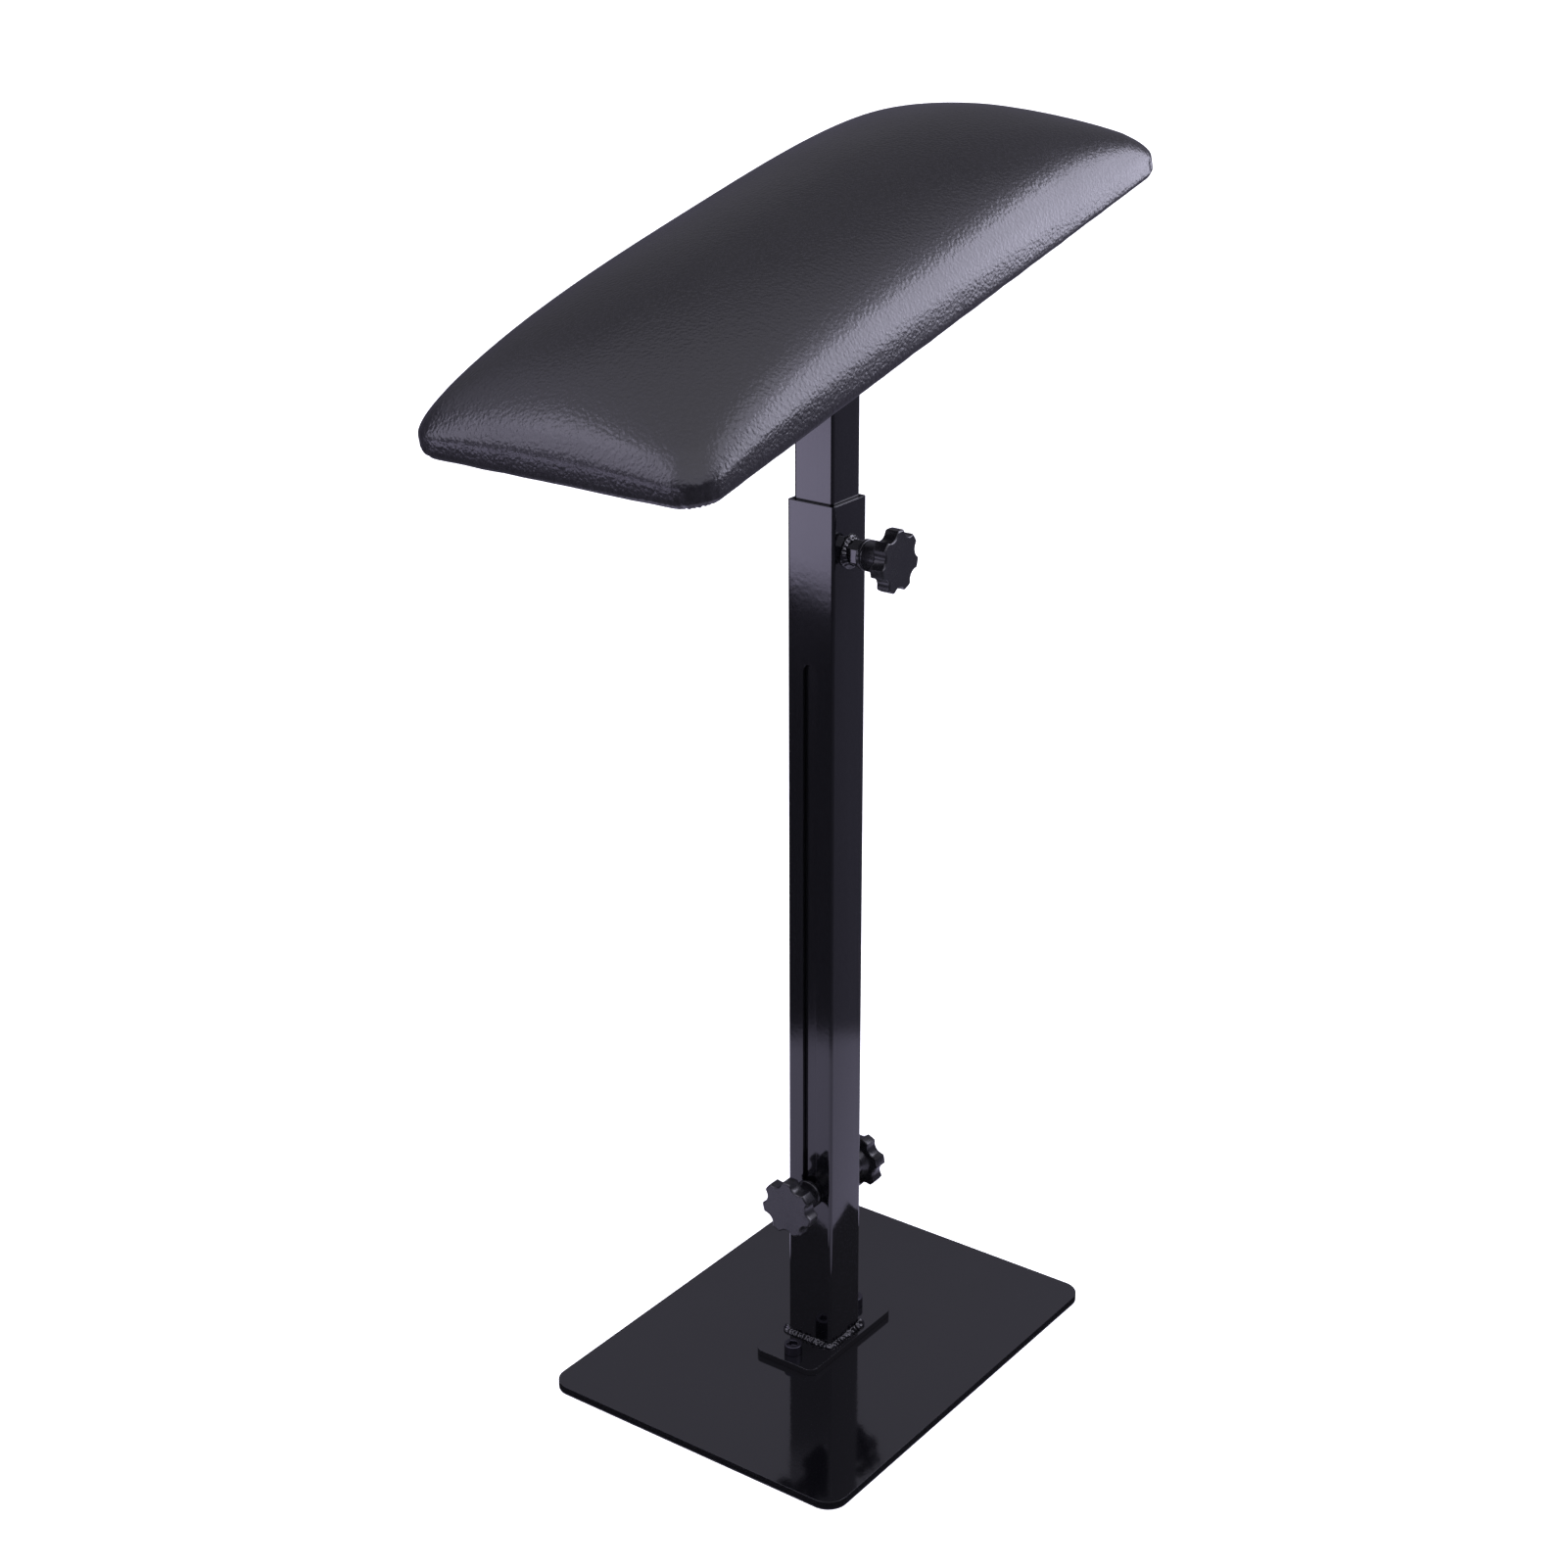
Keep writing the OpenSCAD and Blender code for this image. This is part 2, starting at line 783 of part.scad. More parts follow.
module pad_board() {
    color("burlywood") difference() {
        on_pad() pad_slab(board_inset, cover_thickness, board_top);
        tilted() bracket_screw_places() {
            cylinder(r = tee_nut_barrel_radius, h = board_top + overrun);
            translate([0, 0, board_top - tee_nut_flange_thickness]) {
                cylinder(r = tee_nut_flange_radius, h = tee_nut_flange_thickness + overrun);
            }
        }
    }
}

// The dust cover laps the hem round its rim, and lies against the board inside the hem.
module dust_cover() {
    inner = hem_width + dust_cover_thickness;
    color("dimgray") difference() {
        on_pad() {
            difference() {
                pad_slab(dust_cover_inset, -dust_cover_thickness, 0);
                pad_slab(inner, -dust_cover_thickness - overrun, overrun);
            }
            difference() {
                pad_slab(hem_width, -dust_cover_thickness, cover_thickness);
                pad_slab(inner, -dust_cover_thickness - overrun, plate_top);
            }
        }
        tilted() bracket_screw_places() {
            translate([0, 0, -overrun]) {
                cylinder(r = plate_screw_radius + hole_clearance, h = cover_thickness + 2 * overrun);
            }
        }
    }
}

module staple() {
    translate([0, 0, -dust_cover_thickness]) {
        translate([-staple_crown / 2, -staple_wire / 2, -staple_wire]) {
            cube([staple_crown, staple_wire, staple_wire]);
        }
        for (x = [-staple_crown / 2, staple_crown / 2 - staple_wire]) {
            translate([x, -staple_wire / 2, -staple_wire]) cube([staple_wire, staple_wire, staple_leg + staple_wire]);
        }
    }
}

module staple_row(length, distance) {
    count = floor(length / staple_spacing);
    for (i = [0 : count]) {
        translate([(i / count - 1 / 2) * length, distance, 0]) staple();
    }
}

module staples() {
    long_run = pad_length - 2 * staple_end_inset;
    short_run = pad_width - 2 * staple_end_inset;
    color(zinc) on_pad() for (side = [-1, 1]) {
        staple_row(long_run, side * (pad_width / 2 - staple_inset));
        rotate([0, 0, 90]) staple_row(short_run, side * (pad_length / 2 - staple_inset));
    }
}

base_plate();
foot_flange();
foot_weld();
flange_screws();
outer_tube();
upper_weld_nut();
upper_nut_weld();
inner_tube();
lower_clamp_nuts();
tube_end_plug();
upper_clamp_stud();
upper_knob_head();
lower_left_stud();
lower_left_knob_head();
lower_right_stud();
lower_right_knob_head();
bracket_plate();
tilt_fork();
fork_welds();
bracket_screws();
tee_nuts();
pivot_bolt();
friction_washers();
tilt_washer();
tilt_knob_insert();
tilt_knob_head();
pad_board();
foam_core();
leather_cover();
dust_cover();
staples();
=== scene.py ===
# Arm rest stand: finishes, upholstery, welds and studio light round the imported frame.
# Blender works in metres, with the post's axis along Z and the floor at z = 0.
# The dictionaries are in millimetres and degrees, apart from the camera and the studio.

import json
import math

import bmesh
import bpy
from mathutils import Matrix, Vector, noise
from mathutils.kdtree import KDTree


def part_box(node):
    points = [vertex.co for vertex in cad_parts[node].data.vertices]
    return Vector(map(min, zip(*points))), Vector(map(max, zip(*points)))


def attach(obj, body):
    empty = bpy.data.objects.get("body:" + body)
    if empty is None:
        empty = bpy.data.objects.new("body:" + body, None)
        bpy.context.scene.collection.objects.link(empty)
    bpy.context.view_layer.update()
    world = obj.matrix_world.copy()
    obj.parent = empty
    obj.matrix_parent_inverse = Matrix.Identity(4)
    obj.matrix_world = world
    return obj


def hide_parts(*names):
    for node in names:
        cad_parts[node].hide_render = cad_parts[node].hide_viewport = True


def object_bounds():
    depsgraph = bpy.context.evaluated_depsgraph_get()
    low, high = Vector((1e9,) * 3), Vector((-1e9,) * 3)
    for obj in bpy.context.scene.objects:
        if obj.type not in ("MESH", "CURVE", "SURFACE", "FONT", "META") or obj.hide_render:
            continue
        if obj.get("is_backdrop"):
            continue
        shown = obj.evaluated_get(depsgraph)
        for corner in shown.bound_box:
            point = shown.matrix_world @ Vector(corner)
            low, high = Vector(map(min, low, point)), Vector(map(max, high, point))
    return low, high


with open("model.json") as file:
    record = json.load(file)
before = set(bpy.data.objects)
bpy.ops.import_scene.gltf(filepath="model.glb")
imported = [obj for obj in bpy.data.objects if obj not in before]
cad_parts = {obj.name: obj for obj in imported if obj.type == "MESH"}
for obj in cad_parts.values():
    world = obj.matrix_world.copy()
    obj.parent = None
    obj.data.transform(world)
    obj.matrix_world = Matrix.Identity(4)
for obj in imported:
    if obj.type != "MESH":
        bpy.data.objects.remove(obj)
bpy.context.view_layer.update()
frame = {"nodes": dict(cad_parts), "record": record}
nodes = frame["nodes"]
bodyOf = {node: body for body, members in frame["record"]["behaviour"]["bodies"].items() for node in members}
scene = bpy.context.scene
mm = 0.001
print("frame loaded,", len(nodes), "nodes")


# Camera, at the photograph's place

view = {
    "place": (-1.098392, -0.777612, 0.899828),
    "heading": 53.732, "dip": 21.984, "roll": 0.16,     # clockwise from +Y, below level, about the line of sight
    "lens": 61.234, "film": 36, "clip": (0.05, 60),
}


def addCamera():
    heading, dip, roll = (math.radians(view[k]) for k in ("heading", "dip", "roll"))
    ahead = Vector((math.cos(dip) * math.sin(heading), math.cos(dip) * math.cos(heading), -math.sin(dip)))
    level = Vector((math.cos(heading), -math.sin(heading), 0))
    down = ahead.cross(level)
    right = level * math.cos(roll) + down * math.sin(roll)
    up = level * math.sin(roll) - down * math.cos(roll)
    data = bpy.data.cameras.new("studioCamera")
    data.lens, data.sensor_width, data.sensor_fit = view["lens"], view["film"], "HORIZONTAL"
    data.clip_start, data.clip_end = view["clip"]
    camera = bpy.data.objects.new("studioCamera", data)
    turn = Matrix((right, up, -ahead)).transposed().to_4x4()
    camera.matrix_world = Matrix.Translation(Vector(view["place"])) @ turn
    scene.collection.objects.link(camera)
    scene.camera = camera


addCamera()


# Materials

def linear(hexColour):
    channels = [int(hexColour[i:i + 2], 16) / 255 for i in (1, 3, 5)]
    return [c / 12.92 if c <= 0.04045 else ((c + 0.055) / 1.055) ** 2.4 for c in channels] + [1]


def every(size):
    # a texture's scale, for features of this size in mm
    return 1 / (size * mm)


def feed(node, settings):
    # a value sets an option or an input, and another node is linked from its first output
    for name, value in settings.items():
        if isinstance(value, bpy.types.Node):
            value = value.outputs[0]
        if isinstance(value, bpy.types.NodeSocket):
            node.id_data.links.new(value, node.inputs[name])
        elif isinstance(name, str) and hasattr(node, name):
            setattr(node, name, value)
        else:
            node.inputs[name].default_value = value
    return node


def addNode(tree, kind, settings=None):
    return feed(tree.nodes.new("ShaderNode" + kind), settings or {})


def startMaterial(name, look, metallic=0):
    material = bpy.data.materials.new(name)
    material.use_nodes = True
    material.diffuse_color = linear(look["colour"])
    shader = material.node_tree.nodes["Principled BSDF"]
    feed(shader, {"Base Color": linear(look["colour"]), "Metallic": metallic, "Roughness": look["roughness"]})
    if not metallic:
        feed(shader, {"IOR": look["ior"]})
    return material, material.node_tree, shader


paintLook = {
    "colour": "#08080a", "roughness": 0.06, "ior": 1.5,
    "peel": 2.6, "peelDepth": 0.010,            # orange peel in the coat, from bump to bump
    "wave": 34, "waveDepth": 0.05,              # slow unevenness of the sheet below
    "dust": 60, "dustRough": 0.05,              # patches that are a little duller
    "rubbedRough": (0.11, 0.30), "hair": 0.5, "hairLength": 140,
}


def powderCoatedSteel(name="powderCoatedSteel"):
    # Mild steel, sprayed and baked with gloss black powder: near-black mirror gloss with a faint orange peel
    look = paintLook
    material, tree, shader = startMaterial(name, look)
    place = addNode(tree, "TexCoord").outputs["Object"]
    peel = addNode(tree, "TexNoise", {"Scale": every(look["peel"]), "Detail": 1.5, "Roughness": 0.4, "Vector": place})
    wave = addNode(tree, "TexNoise", {"Scale": every(look["wave"]), "Detail": 1.0, "Vector": place})
    slow = addNode(tree, "Bump", {"Distance": look["waveDepth"] * mm, "Height": wave})
    fine = addNode(tree, "Bump", {"Distance": look["peelDepth"] * mm, "Height": peel, "Normal": slow})
    dust = addNode(tree, "TexNoise", {"Scale": every(look["dust"]), "Detail": 6.0, "Vector": place})
    dull = addNode(tree, "MapRange", {"From Min": 0.35, "From Max": 0.75, "To Min": look["roughness"],
                                      "To Max": look["roughness"] + look["dustRough"], "Value": dust})
    feed(shader, {"Normal": fine, "Roughness": dull})
    return material


def rubbedPaint():
    # The same coat on the sliding post: long hair scratches from going up and down in the tube
    material = powderCoatedSteel("rubbedPowderCoat")
    tree = material.node_tree
    place = addNode(tree, "TexCoord").outputs["Object"]
    hair, low, high = every(paintLook["hair"]), *paintLook["rubbedRough"]
    drawn = addNode(tree, "Mapping", {"Scale": (hair, hair, every(paintLook["hairLength"])), "Vector": place})
    hairs = addNode(tree, "TexNoise", {"Scale": 1.0, "Detail": 3.0, "Roughness": 0.7, "Vector": drawn})
    worn = addNode(tree, "MapRange", {"From Min": 0.60, "From Max": 0.78, "To Min": low, "To Max": high,
                                      "Value": hairs})
    feed(tree.nodes["Principled BSDF"], {"Roughness": worn})
    return material


plasticLook = {
    "colour": "#101012", "roughness": 0.24, "ior": 1.48,
    "grain": 0.9, "grainDepth": 0.006,
    "flow": 9, "flowRough": (-0.05, 0.08),      # patches where the melt met, glossier and duller
}


def mouldedNylon():
    # Glass-filled nylon, injection moulded in a polished tool: black, half gloss, with a faint flow unevenness
    look = plasticLook
    material, tree, shader = startMaterial("mouldedNylon", look)
    place = addNode(tree, "TexCoord").outputs["Object"]
    grain = addNode(tree, "TexNoise", {"Scale": every(look["grain"]), "Detail": 2.0, "Vector": place})
    bump = addNode(tree, "Bump", {"Distance": look["grainDepth"] * mm, "Height": grain})
    flow = addNode(tree, "TexNoise", {"Scale": every(look["flow"]), "Detail": 3.0, "Vector": place})
    glossier, duller = (look["roughness"] + change for change in look["flowRough"])
    rough = addNode(tree, "MapRange", {"From Min": 0.3, "From Max": 0.7, "To Min": glossier, "To Max": duller,
                                       "Value": flow})
    feed(shader, {"Normal": bump, "Roughness": rough})
    return material


zincLook = {
    "colour": "#b6babf", "roughness": 0.32, "range": (0.24, 0.44),
    "spangle": 1.6, "dull": "#a9adb2", "bright": "#c3c6ca",
}


def zincPlatedSteel():
    # Steel fasteners, barrel plated in bright zinc: bluish silver with soft cloudy spangle
    look, (low, high) = zincLook, zincLook["range"]
    material, tree, shader = startMaterial("zincPlatedSteel", look, 1)
    place = addNode(tree, "TexCoord").outputs["Object"]
    cloud = addNode(tree, "TexVoronoi", {"Scale": every(look["spangle"]), "Vector": place})
    tone = addNode(tree, "MapRange", {"To Min": low, "To Max": high, "Value": cloud})
    colour = addNode(tree, "MixRGB", {"Color1": linear(look["dull"]), "Color2": linear(look["bright"]), "Fac": cloud})
    feed(shader, {"Roughness": tone, "Base Color": colour})
    return material


oxideLook = {"colour": "#45444b", "roughness": 0.34, "range": (0.26, 0.46), "mottle": 1.2, "mottleDepth": 0.01}


def blackOxideSteel():
    # Alloy socket screws, chemically blackened and oiled: dark grey metal with a satin edge
    look, (low, high) = oxideLook, oxideLook["range"]
    material, tree, shader = startMaterial("blackOxideSteel", look, 1)
    place = addNode(tree, "TexCoord").outputs["Object"]
    mottle = addNode(tree, "TexNoise", {"Scale": every(look["mottle"]), "Detail": 3.0, "Vector": place})
    tone = addNode(tree, "MapRange", {"To Min": low, "To Max": high, "Value": mottle})
    bump = addNode(tree, "Bump", {"Distance": look["mottleDepth"] * mm, "Height": mottle})
    feed(shader, {"Roughness": tone, "Normal": bump})
    return material


leatherLook = {
    # the grains' colour, and a darker colour painted into the valleys between them as shade
    "colour": "#161519", "valleyShade": "#0f0e11", "roughness": 0.29, "ior": 1.5,
    "pebble": 1.8, "pebbleDepth": 0.125,        # raised grains, about a third wider than real ones so that they show
    "crease": 5.0, "creaseDepth": 0.035,        # shallow creases that group the grains
    "creaseShare": 0.16,                        # of the way from a crease to the middle of its group
    "bend": 2.2, "bendReach": 1.6,              # makes the grains uneven
    "drift": 70, "driftRough": (-0.03, 0.05),   # slow change of gloss over the hide
}


def pebbledLeatherette():
    # Polyurethane leathercloth, embossed with a pebble grain and top coated: soft satin sheen on black
    look = leatherLook
    material, tree, shader = startMaterial("pebbledLeatherette", look)
    place = addNode(tree, "TexCoord").outputs["Object"]
    warp = addNode(tree, "TexNoise", {"Scale": every(look["bend"]), "Detail": 2.0, "Vector": place})
    shift = addNode(tree, "VectorMath", {"operation": "SCALE", "Scale": look["bendReach"] * mm,
                                         0: warp.outputs["Color"]})
    bent = addNode(tree, "VectorMath", {"operation": "ADD", 0: place, 1: shift})
    pebble = addNode(tree, "TexVoronoi", {"feature": "SMOOTH_F1", "Scale": every(look["pebble"]), "Smoothness": 0.6,
                                          "Vector": bent})
    crease = addNode(tree, "TexVoronoi", {"feature": "DISTANCE_TO_EDGE", "Scale": every(look["crease"]),
                                          "Vector": bent})
    cut = addNode(tree, "MapRange", {"From Max": look["creaseShare"], "Value": crease})
    raised = addNode(tree, "MapRange", {"From Max": 0.7, "To Min": 1.0, "To Max": 0.0, "Value": pebble})
    deep = addNode(tree, "Bump", {"Distance": look["creaseDepth"] * mm, "Height": cut})
    fine = addNode(tree, "Bump", {"Distance": look["pebbleDepth"] * mm, "Height": raised, "Normal": deep})
    # painted shade: the valleys between the raised grains take the darker colour
    colour = addNode(tree, "MixRGB", {"Color1": linear(look["valleyShade"]), "Color2": linear(look["colour"]),
                                      "Fac": raised})
    drift = addNode(tree, "TexNoise", {"Scale": every(look["drift"]), "Detail": 3.0, "Vector": place})
    glossier, duller = (look["roughness"] + change for change in look["driftRough"])
    rough = addNode(tree, "MapRange", {"From Min": 0.3, "From Max": 0.7, "To Min": glossier, "To Max": duller,
                                       "Value": drift})
    feed(shader, {"Normal": fine, "Base Color": colour, "Roughness": rough})
    return material


foamLook = {
    # the foam's colour, and a darker colour painted into the open holes of the cells as shade
    "colour": "#d9cc9a", "roughness": 0.95, "ior": 1.45, "hole": "#b9a870", "wall": "#e2d6a8",
    "cell": 1.1, "cellDepth": 0.3,              # real cells are 0.5 mm, drawn coarser so that they show
}


def openCellFoam():
    # Polyurethane foam, cut from a block: warm pale yellow with fine open cells
    look = foamLook
    material, tree, shader = startMaterial("openCellFoam", look)
    place = addNode(tree, "TexCoord").outputs["Object"]
    cells = addNode(tree, "TexVoronoi", {"Scale": every(look["cell"]), "Vector": place})
    # painted shade: the middles of the cells, the open holes, are coloured darker than the walls
    colour = addNode(tree, "MixRGB", {"Color1": linear(look["hole"]), "Color2": linear(look["wall"]), "Fac": cells})
    bump = addNode(tree, "Bump", {"Distance": look["cellDepth"] * mm, "Height": cells})
    feed(shader, {"Base Color": colour, "Normal": bump})
    return material


tilt = {"pivot": 586, "angle": 13.5}            # height of the pad's bolt, and the pad's slope
plyLook = {
    "colour": "#c8a97c", "roughness": 0.62, "ior": 1.46, "glue": "#a98557", "wood": "#d9bf94",
    "perMetre": (8, 120, 700),                  # changes of tone along the grain, across it and through the plies
    "grainDepth": 0.08,
}


def birchPlywood():
    # Birch plywood, sawn and unsealed: long pale grain on the faces and dark glue lines on the edges
    look = plyLook
    material, tree, shader = startMaterial("birchPlywood", look)
    place = addNode(tree, "TexCoord").outputs["Object"]
    lying = addNode(tree, "Mapping", {"Rotation": (0, math.radians(tilt["angle"]), 0), "Vector": place})
    drawn = addNode(tree, "VectorMath", {"operation": "MULTIPLY", 1: look["perMetre"], 0: lying})
    grain = addNode(tree, "TexNoise", {"Scale": 1.0, "Detail": 5.0, "Distortion": 0.6, "Vector": drawn})
    colour = addNode(tree, "MixRGB", {"Color1": linear(look["glue"]), "Color2": linear(look["wood"]), "Fac": grain})
    bump = addNode(tree, "Bump", {"Distance": look["grainDepth"] * mm, "Height": grain})
    feed(shader, {"Base Color": colour, "Normal": bump})
    return material


clothLook = {
    # the gaps between the fibres take a darker colour, painted as shade
    "colour": "#19191b", "roughness": 0.88, "ior": 1.49, "gap": "#131315", "thread": "#2a2a2d",
    "point": 1.6, "pointDepth": 0.12, "fibre": 0.5, "fibreDepth": 0.05,
}


def spunbondCloth():
    # Black spunbond polypropylene, heat bonded in a grid of points: flat, matt and papery
    look = clothLook
    material, tree, shader = startMaterial("spunbondCloth", look)
    place = addNode(tree, "TexCoord").outputs["Object"]
    points = addNode(tree, "TexVoronoi", {"Scale": every(look["point"]), "Randomness": 0.15, "Vector": place})
    fibres = addNode(tree, "TexNoise", {"Scale": every(look["fibre"]), "Detail": 4.0, "Vector": place})
    # painted shade: where the fibres lie low, between them, the colour is darker
    colour = addNode(tree, "MixRGB", {"Color1": linear(look["gap"]), "Color2": linear(look["thread"]), "Fac": fibres})
    low = addNode(tree, "Bump", {"Distance": look["pointDepth"] * mm, "Height": points})
    bump = addNode(tree, "Bump", {"Distance": look["fibreDepth"] * mm, "Height": fibres, "Normal": low})
    feed(shader, {"Base Color": colour, "Normal": bump})
    return material


paint, rubbed, nylon = powderCoatedSteel(), rubbedPaint(), mouldedNylon()
zinc, blackScrew = zincPlatedSteel(), blackOxideSteel()
leather, foam, plywood, spunbond = pebbledLeatherette(), openCellFoam(), birchPlywood(), spunbondCloth()
print("materials made")


# Rigid pieces: the frame's own shapes with their edges eased, as sawn, drawn and moulded parts have them

def addObject(name, mesh):
    thing = bpy.data.objects.new(name, mesh)
    scene.collection.objects.link(thing)
    return thing


def addPiece(nodeName, mesh, material):
    # stands for one node of the frame, on the same body; foot_weld becomes footWeld
    first, *others = nodeName.split("_")
    mesh.name = first + "".join(word.capitalize() for word in others)
    piece = addObject(mesh.name, mesh)
    mesh.materials.clear()
    mesh.materials.append(material)
    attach(piece, bodyOf[nodeName])
    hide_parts(nodeName)
    return piece


def toMesh(shape, name):
    mesh = bpy.data.meshes.new(name)
    shape.to_mesh(mesh)
    shape.free()
    return mesh


def smoothMesh(shape, name, sharpAngle):
    # smooth, with sharp edges where two faces meet at more than an angle
    for face in shape.faces:
        face.smooth = True
    mesh = toMesh(shape, name)
    mesh.set_sharp_from_angle(angle=math.radians(sharpAngle))
    return mesh


easing = {
    "merge": 0.002, "flat": 0.6,                # points this close, and faces that bend less than this, become one
    "bend": 28, "segments": 3,                  # only edges that bend more are eased
}


def easeEdges(nodeName, material, width):
    mesh = nodes[nodeName].data.copy()
    shape = bmesh.new()
    shape.from_mesh(mesh)
    bmesh.ops.remove_doubles(shape, verts=shape.verts, dist=easing["merge"] * mm)
    bmesh.ops.dissolve_limit(shape, angle_limit=math.radians(easing["flat"]), verts=shape.verts, edges=shape.edges)
    for face in shape.faces:
        face.smooth = True
    shape.to_mesh(mesh)
    shape.free()
    if "custom_normal" in mesh.attributes:
        mesh.attributes.remove(mesh.attributes["custom_normal"])
    bevel = addPiece(nodeName, mesh, material).modifiers.new("easedEdges", "BEVEL")
    bevel.width, bevel.segments, bevel.limit_method = width * mm, easing["segments"], "ANGLE"
    bevel.angle_limit, bevel.harden_normals, bevel.miter_outer = math.radians(easing["bend"]), True, "MITER_ARC"


easedPieces = [
    # node, slot, material, width of the eased edge
    ("base_plate", "black_paint", paint, 0.7),
    ("foot_flange", "black_paint", paint, 0.6),
    ("flange_screws", "black_screw", blackScrew, 0.35),
    ("outer_tube", "black_paint", paint, 0.35),
    ("upper_weld_nut", "black_paint", paint, 0.4),
    ("inner_tube", "black_paint", rubbed, 0.3),
    ("lower_clamp_nuts", "zinc", zinc, 0.4),
    ("tube_end_plug", "black_plastic", nylon, 0.5),
    ("bracket_plate", "black_paint", paint, 0.5),
    ("tilt_fork", "black_paint", paint, 0.6),
    ("bracket_screws", "zinc", zinc, 0.3),
    ("tee_nuts", "zinc", zinc, 0.2),
    ("friction_washers", "black_plastic", nylon, 0.15),
    ("tilt_washer", "zinc", zinc, 0.25),
    ("staples", "zinc", zinc, 0.15),
]
for nodeName, slot, material, width in easedPieces:
    easeEdges(nodeName, material, width)
for nodeName, material in (("pad_board", plywood), ("tilt_knob_insert", zinc)):
    nodes[nodeName].data.materials.clear()
    nodes[nodeName].data.materials.append(material)
print("edges eased on", len(easedPieces), "pieces")


# Star knobs

knob = {
    "lobes": 7, "radius": 17, "hollow": 3, "hollowRadius": 6, "cornerBlend": 0.9, "cornerSlope": 9,
    "head": 8.5, "edge": 1.3, "underside": 0.2, "face": 0.25, "faceDrop": 0.02, "faceRings": (9.5, 5),
    "collar": 14.5, "collarRadius": 8.4, "collarEdge": 0.5,
    "grooveAt": 2.4, "grooveWidth": 1.0,
    "grooveLip": ((-0.25, 0), (0, 0.2), (0.12, 0.6)),       # steps into the groove, and how deep each is
    "web": ((-3.4, 8.4), (-2.4, 8.7), (-0.5, 10.4), (0, 11)),       # height from the collar's end, radius
    "bore": 4.06, "boreEdge": 0.4, "cap": 4.0, "stepsPerLobe": 24, "sharp": 40,
}
onAxis = 0.0001
upright = Matrix.Identity(4)
tilted = Matrix.Translation((0, 0, tilt["pivot"] * mm)) @ Matrix.Rotation(-math.radians(tilt["angle"]), 4, "Y")


def starRadius(angle):
    # circle less the hollows, with the lobes' corners rounded by a soft minimum
    step = 2 * math.pi / knob["lobes"]
    off = (angle % step) - step / 2
    far = knob["radius"] - knob["hollow"] + knob["hollowRadius"]
    reach = knob["hollowRadius"] ** 2 - (far * math.sin(off)) ** 2
    hollow = far * math.cos(off) - math.sqrt(max(reach, 0))
    if reach <= 0:
        past = abs(off) - math.asin(knob["hollowRadius"] / far)
        hollow += knob["cornerSlope"] * past * far / knob["hollowRadius"]
    blend = knob["cornerBlend"]
    gap = max(blend - abs(hollow - knob["radius"]), 0) / blend
    return min(hollow, knob["radius"]) - gap * gap * blend / 4


def quarterRound(steps):
    angles = [i / (steps - 1) * math.pi / 2 for i in range(steps)]
    return [(1 - math.cos(a), 1 - math.sin(a)) for a in angles]


def knobRings():
    # from the bore's end, over the collar and the star, to the middle of the face:
    # height, whether the ring is on the star, and its radius or how far inside the star it runs
    k = knob
    total, collar, edge = k["collar"] + k["head"], k["collarRadius"], k["edge"]
    rings = [(total - k["cap"], 0, onAxis), (total - k["cap"], 0, k["bore"]),
             (k["boreEdge"], 0, k["bore"]), (0, 0, k["bore"] + k["boreEdge"])]
    rings += [(k["collarEdge"] * up, 0, collar - k["collarEdge"] * inward) for up, inward in quarterRound(4)]
    low, high = k["grooveAt"], k["grooveAt"] + k["grooveWidth"]
    rings += [(low + step, 0, collar - depth) for step, depth in k["grooveLip"]]
    rings += [(high - step, 0, collar - depth) for step, depth in reversed(k["grooveLip"])]
    rings += [(k["collar"] + height, 0, radius) for height, radius in k["web"]]
    rings.append((k["collar"], 1, edge + k["underside"]))
    rings += [(k["collar"] + edge * up, 1, edge * inward) for up, inward in quarterRound(6)]
    rings += [(total - edge * down, 1, edge * inward) for inward, down in quarterRound(6)]
    rings.append((total - k["faceDrop"], 1, edge + k["face"]))
    return rings + [(total, 0, radius) for radius in (*k["faceRings"], onAxis)]


def onRing(radius, angle, height):
    return Vector((radius * math.cos(angle), radius * math.sin(angle), height))


def skinRows(shape, rows):
    for low, high in zip(rows, rows[1:]):
        for i in range(len(low)):
            j = (i + 1) % len(low)
            shape.faces.new((low[i], low[j], high[j], high[i]))


def addKnob(nodeName, turn, matrix):
    around = knob["lobes"] * knob["stepsPerLobe"]
    shape, rows = bmesh.new(), []
    for height, onStar, value in knobRings():
        row = []
        for i in range(around):
            angle = 2 * math.pi * i / around
            radius = starRadius(angle) - value if onStar else value
            row.append(shape.verts.new(matrix @ (onRing(radius, angle + math.radians(turn), height) * mm)))
        rows.append(row)
    skinRows(shape, rows)
    bmesh.ops.remove_doubles(shape, verts=shape.verts, dist=easing["merge"] * mm)
    bmesh.ops.recalc_face_normals(shape, faces=shape.faces)
    addPiece(nodeName, smoothMesh(shape, nodeName, knob["sharp"]), nylon)


def alongAxis(seat, axis, across):
    # stands a piece that points along +Z on a point of the frame, pointing along an axis
    z, x = Vector(axis).normalized(), Vector(across).normalized()
    y = z.cross(x)
    return Matrix.Translation(Vector(seat)) @ Matrix((x, y, z)).transposed().to_4x4()


